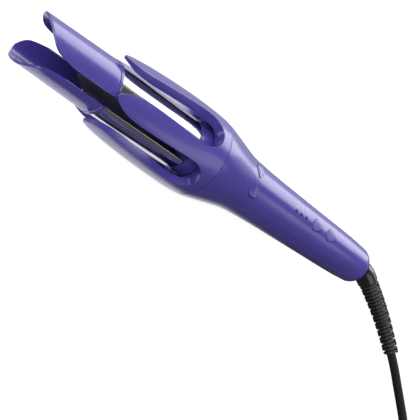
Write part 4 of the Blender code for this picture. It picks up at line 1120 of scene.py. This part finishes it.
def petalSheet():
    # the band round one gap, from the middle of its bottom to the tip of the petal
    flat = cage["flatRadius"]
    wide = math.pi / cage["petals"] * flat
    outline = petalOutline(wide, flat)

    def lay(x, y):
        return onRound(x, cageRadius(x), y / flat)

    sheet = bandSheet("petal", outline, petalSpine(outline, wide), cage["rows"], lay, cage["rowRoom"])
    rim = sheet.vertex_groups.new(name="rim")
    rim.add(list(range(2 * (2 * cage["outlinePoints"] + 1))), 1.0, "REPLACE")
    return sheet


def shapeWall(made):
    for vertex in made.data.vertices:  # a deep edge round each petal, and a thin tip
        x, y, z = vertex.co
        radius = cageRadius(x)
        if radius - math.hypot(y, z) > cage["wall"] * 0.4:
            deep = min(cage["rimDepth"], radius - cage["innerClear"]) if vertex.groups else cage["wall"]
            share = valueAt(cage["thinning"], (x - curler["cageStart"]) / cage["length"])
            rise = (radius - deep * share) / math.hypot(y, z)
            vertex.co = (x, y * rise, z * rise)


def makeCage():
    model = petalSheet()
    step = 2 * math.pi / cage["petals"]
    petals = [copied(model, turn(cage["firstPetal"] + step * (k + 0.5))) for k in range(cage["petals"])]
    discard(model)
    made = joined("petalCage", *petals)
    faceOut(made)
    thicken(made, cage["wall"])
    shapeWall(made)
    roundEdges(made, cage["edge"], 3, 50)
    floor = ring("cageFloor", curler["slotBottom"], cage["floor"])
    spigot = ring("cageSpigot", curler["slotBottom"], cage["spigot"])
    made = joined("petalCage", made, floor, spigot)
    mount(made, "root", "satinViolet", "petal_guard", angle=50)


makeCage()
print("cage made")


# Rotor: root collar, chrome half shells, slot liners and horns

rotor = {
    "joint": 0.0003,
    # (x from the barrel's start, radius)
    "collar": (
        (-0.0106, 0.0148), (-0.0106, 0.0174), (-0.0103, 0.0177), (-0.0076, 0.01752), (-0.0002, 0.01702),
        (0, 0.0168), (0, 0.0157), (0.0035, 0.0157), (0.0035, 0), (-0.0035, 0), (-0.0035, 0.0148),
    ),
    "boss": ((-0.0179, 0.0039), (-0.0179, 0.0069), (-0.0030, 0.0069), (-0.0030, 0.0039)),
    "shellWall": 0.0010,
    "shellEdge": 0.00045,
    "hornWall": 0.0016,
    "hornEdge": 0.00055,
    "lip": 0.0022,
    "lipRadius": 0.0179,
    "lipSteps": (0.0034, 0.0029, 0.0026, 0.0024, 0.0022, 0.0020, 0.0014, 0.0007, 0),
    "grooveDepth": 0.00025,
    "grooveLength": 0.0005,
    "hornRadius": 0.0177,
    "tipRadius": 0.0168,
    "tongueLength": 0.034,
    # (share of tongueLength back from the tip, share of tipRadius)
    "tongue": (
        (0.0, 0.0), (0.008, 0.15), (0.032, 0.30), (0.070, 0.457), (0.118, 0.66), (0.18, 0.77),
        (0.26, 0.868), (0.36, 0.93), (0.50, 0.962), (0.68, 0.985), (1.0, 1.02),
    ),
    "tonguePoints": 46,
    "spineTip": 0.012,
    "rows": ((0, 0), (0.0006, 0), (0.0014, 0.02)),
    "rowDepth": 0.002,
    "flatRadius": 0.0168,
    "linerBack": 0.0038,
    "linerStep": 0.0041,
    "linerReach": 0.0150,
    "linerWidths": (0.01467, 0.01261, 0.0078, 0.0060),
    "linerTop": 0.0056,
    "linerEdge": 0.00025,
}


def keepClear(piece):
    for vertex in piece.data.vertices:  # the inner edge of a wall stays out of the hair slot
        vertex.co.z = max(vertex.co.z, curler["slotHalf"])


def makeCollar():
    start, half = curler["barrelStart"], curler["slotHalf"]
    collar = ring("rootCollar", start, rotor["collar"], 120)
    corners = ((rotor["joint"], -0.02), (0.01, -0.02), (0.01, 0.02), (rotor["joint"], 0.02))
    cutAway(collar, plate("slot", [(start + x, y) for x, y in corners], -half, half))
    collar = joined("rootCollar", collar, ring("boss", start, rotor["boss"], 48))
    smooth(collar, 35)
    settle(collar, turn(curler["rotorTurn"]))
    mount(collar, "barrel", "satinViolet", "root_collar")


def barrelSheet():
    start, end = curler["barrelStart"] + rotor["joint"], curler["hornStart"] - rotor["joint"]
    radius = curler["barrelRadius"]
    half = math.acos(curler["slotHalf"] / radius)

    def spot(u, v):
        return onRound(start + (end - start) * u, radius, half * v)

    shell = curvedSheet("barrelShell", 24, 64, spot)
    thicken(shell, rotor["shellWall"])
    keepClear(shell)
    roundEdges(shell, rotor["shellEdge"], 4, 50)
    return shell


def tongueHalf(back):
    return rotor["tipRadius"] * smoothValue(rotor["tongue"], back / rotor["tongueLength"])


def hornPlain(x):
    share = (x - curler["hornStart"]) / (curler["length"] - curler["hornStart"])
    return rotor["hornRadius"] + (rotor["tipRadius"] - rotor["hornRadius"]) * share


def hornRadius(x):
    behind = x - curler["hornStart"] - rotor["lip"]
    if behind <= 0:
        return rotor["lipRadius"]
    return hornPlain(x) - rotor["grooveDepth"] * math.exp(-behind / rotor["grooveLength"])


def hornSheet():
    # the band from the tip round to the root, mirrored at the tip
    start, tip, flat = curler["hornStart"], curler["length"], rotor["flatRadius"]

    def edgeAt(x):
        radius = hornPlain(x)
        wide = min(tongueHalf(tip - x), math.sqrt(radius * radius - curler["slotHalf"] ** 2))
        return Vector((x, flat * math.asin(wide / radius)))

    reach, points = rotor["tongueLength"], rotor["tonguePoints"]
    fine = [edgeAt(tip - reach * (k / 300) ** 3) for k in range(301)]
    fine[0].y = 0.0
    outline = evenly(fine, points)
    short = rotor["spineTip"]
    spine = [Vector((tip - short + (short - reach) * k / points, 0)) for k in range(points + 1)]
    far, near = tip - reach, start + rotor["lipSteps"][0]
    for x in stations(far, near, 18)[1:-1] + [start + step for step in rotor["lipSteps"]]:
        outline.append(edgeAt(x))
        spine.append(Vector((x, 0)))
    rows = [*rotor["rows"], *((rotor["rowDepth"], 0.12 + 0.88 * k / 14) for k in range(14)), (0, 1)]

    def lay(x, y):
        return onRound(x, hornRadius(x), y / flat)

    horn = bandSheet("horn", outline, spine, rows, lay)
    faceOut(horn)
    thicken(horn, rotor["hornWall"])
    keepClear(horn)
    roundEdges(horn, rotor["hornEdge"], 3, 50)
    return horn


def linerPlate():
    start = curler["barrelStart"] + rotor["linerBack"]
    step = curler["hornStart"] - rotor["linerStep"]
    end = curler["hornStart"] + rotor["linerReach"]
    wide, narrow, shoulder, tip = rotor["linerWidths"]
    side = [(start, wide), (step, wide), (step, narrow), ((step + end) / 2, narrow)]
    side += [(end - 0.002, shoulder), (end, tip)]
    outline = side + [(x, -y) for x, y in side[::-1]]
    liner = plate("slotLiner", outline, curler["slotHalf"], rotor["linerTop"])
    roundEdges(liner, rotor["linerEdge"], 3, 30)
    return liner


def makeHalves():
    models = (
        ("barrelShell", barrelSheet(), "mirrorChrome", "barrel_shell_"),
        ("horn", hornSheet(), "satinViolet", "horn_"),
        ("slotLiner", linerPlate(), "slotDarkPlasticAndShade", "slot_liner_"),
    )
    for name, model, finish, prefix in models:
        smooth(model, 50)
        for letter, angle in (("a", 0.0), ("b", math.pi)):
            made = named(copied(model, turn(curler["rotorTurn"] + angle)), name + letter.upper())
            mount(made, "barrel", finish, prefix + letter)
        discard(model)


makeCollar()
makeHalves()
print("rotor made")


# Nodes that keep their own shape get a finish by a word in their name, and the others are moulded

kept = {
    "brushedSteel": ("gear_motor", "drive_shaft", "tie_rod", "screw"),
    "castAluminium": ("plate", "heat_spreader"),
    "turnedBrass": ("bearing", "slip_ring", "motor_pinion"),
    "whiteNylon": ("drive_gear", "terminal_block"),
    "sinteredCeramic": ("heater",),
    "circuitBoard": ("board",),
    "capacitorSleeve": ("capacitor",),
}


def finishOf(name):
    for finish, words in kept.items():
        if any(word in name for word in words):
            return finish
    return "moulded"


for name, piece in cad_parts.items():
    if not piece.hide_render:
        paint(piece, finishOf(name))
print("kept nodes finished")


# Floor, world and lamps

studio = {
    "ambient": 0.42,
    # what gloss sees of the world: bright low down on the key lamp's side, dim above and across
    "brightSide": (-0.50, -0.80, -0.10),
    "gloss": ((0.55, 0.07), (0.85, 1.0)),
    # how pale the floor is along y: painted shade that darkens the floor away from the curler, with a
    # slanted near edge, so reflections and bounce light there are dim; camera rays see it white by its glow
    "floorShadeSpan": 0.20,
    "table": ((-0.20, 0.50), (-0.07, 0.42), (-0.045, 0.26), (-0.015, 0.85)),
    "shadeEdge": (-0.36, 1, 0),
    "shadeFade": (0.034, 0.056, 0.10),
    "floorCameraGlow": (1.05, 0.72),
    "glossGlow": (0.0, 0.42),
    "lamps": (
        # place, looks at, size, power in watts
        ((-0.30, -0.98, 0.46), (0.0, 0.0, 0.03), (2.2, 0.88), 12),
        ((-0.83, 0.39, 0.80), (0.0, 0.0, 0.03), (0.8, 0.30), 0.7),
        ((-0.05, -0.30, 1.30), (0.0, 0.0, 0.02), (0.9, 0.5), 4),
        ((0.90, 0.20, 1.10), (0.0, 0.0, 0.02), (0.9, 0.9), 6),
    ),
}


def along(tree, place, direction):
    return node(tree, "VectorMath", {0: place, 1: direction}, operation="DOT_PRODUCT").outputs["Value"]


def byRay(tree, value, glossy, seen):
    path = node(tree, "LightPath", {}).outputs
    for ray, other in (("Glossy", glossy), ("Transmission", 1.0), ("Camera", seen)):
        value = node(tree, "Mix", {0: path[f"Is {ray} Ray"], 2: value, 3: other}).outputs[0]
    return value


def setFloor():
    floor = added(bpy.ops.mesh.primitive_plane_add, "floor", size=6)
    tree, shader, place = newFinish("whiteFloor", "floor", (0.85, 0.85, 0.85), 0.9)
    fill(tree, shader, {"Specular IOR Level": 0.1, "Emission Color": (1, 1, 1, 1)})
    span = studio["floorShadeSpan"]
    # the floor's colour is painted shade, darker away from the curler for reflections and bounce light;
    # under the curler it glows for glossy rays, and its camera glow keeps it white
    reach = spread(tree, along(tree, place, (0, 1, 0)), 0, 1, -span, span)
    ramp = node(tree, "ValToRGB", {0: reach})
    stops = ramp.color_ramp.elements
    for k, (y, value) in enumerate(studio["table"]):
        stop = stops[k] if k < 2 else stops.new(1.0)
        stop.position = (y / span + 1) / 2
        stop.color = (value, value, value, 1)
    start, end, dim = studio["shadeFade"]
    fade = spread(tree, along(tree, place, studio["shadeEdge"]), 1, dim, start, end)
    pale = node(tree, "Math", {0: ramp.outputs["Color"], 1: fade}, operation="MULTIPLY").outputs[0]
    glossy = spread(tree, pale, *studio["glossGlow"], 0.5, 0.85)
    seen = spread(tree, pale, *studio["floorCameraGlow"], 0, 0.85)
    fill(tree, shader, {"Base Color": pale, "Emission Strength": byRay(tree, 0.0, glossy, seen)})
    paint(floor, "whiteFloor")


def setWorld():
    world = bpy.data.worlds.new("studioWorld")
    bpy.context.scene.world = world
    world.use_nodes = True
    tree = world.node_tree
    sky = node(tree, "TexCoord", {}).outputs["Generated"]
    (start, low), (end, high) = studio["gloss"]
    gloss = spread(tree, along(tree, sky, Vector(studio["brightSide"]).normalized()), low, high, start, end)
    strength = byRay(tree, studio["ambient"], gloss, 1.0)
    fill(tree, tree.nodes["Background"], {"Color": (1, 1, 1, 1), "Strength": strength})


def setLamps():
    for k, (place, target, size, power) in enumerate(studio["lamps"]):
        lamp = added(bpy.ops.object.light_add, f"softLamp{k + 1}", type="AREA", location=place)
        lamp.data.shape = "RECTANGLE"
        lamp.data.size, lamp.data.size_y = size
        lamp.data.energy = power
        lamp.visible_camera = False
        lamp.rotation_euler = (Vector(target) - Vector(place)).to_track_quat("-Z", "Y").to_euler()
    bpy.context.scene.view_settings.view_transform = "Standard"


setFloor()
setWorld()
setLamps()
print("studio set")
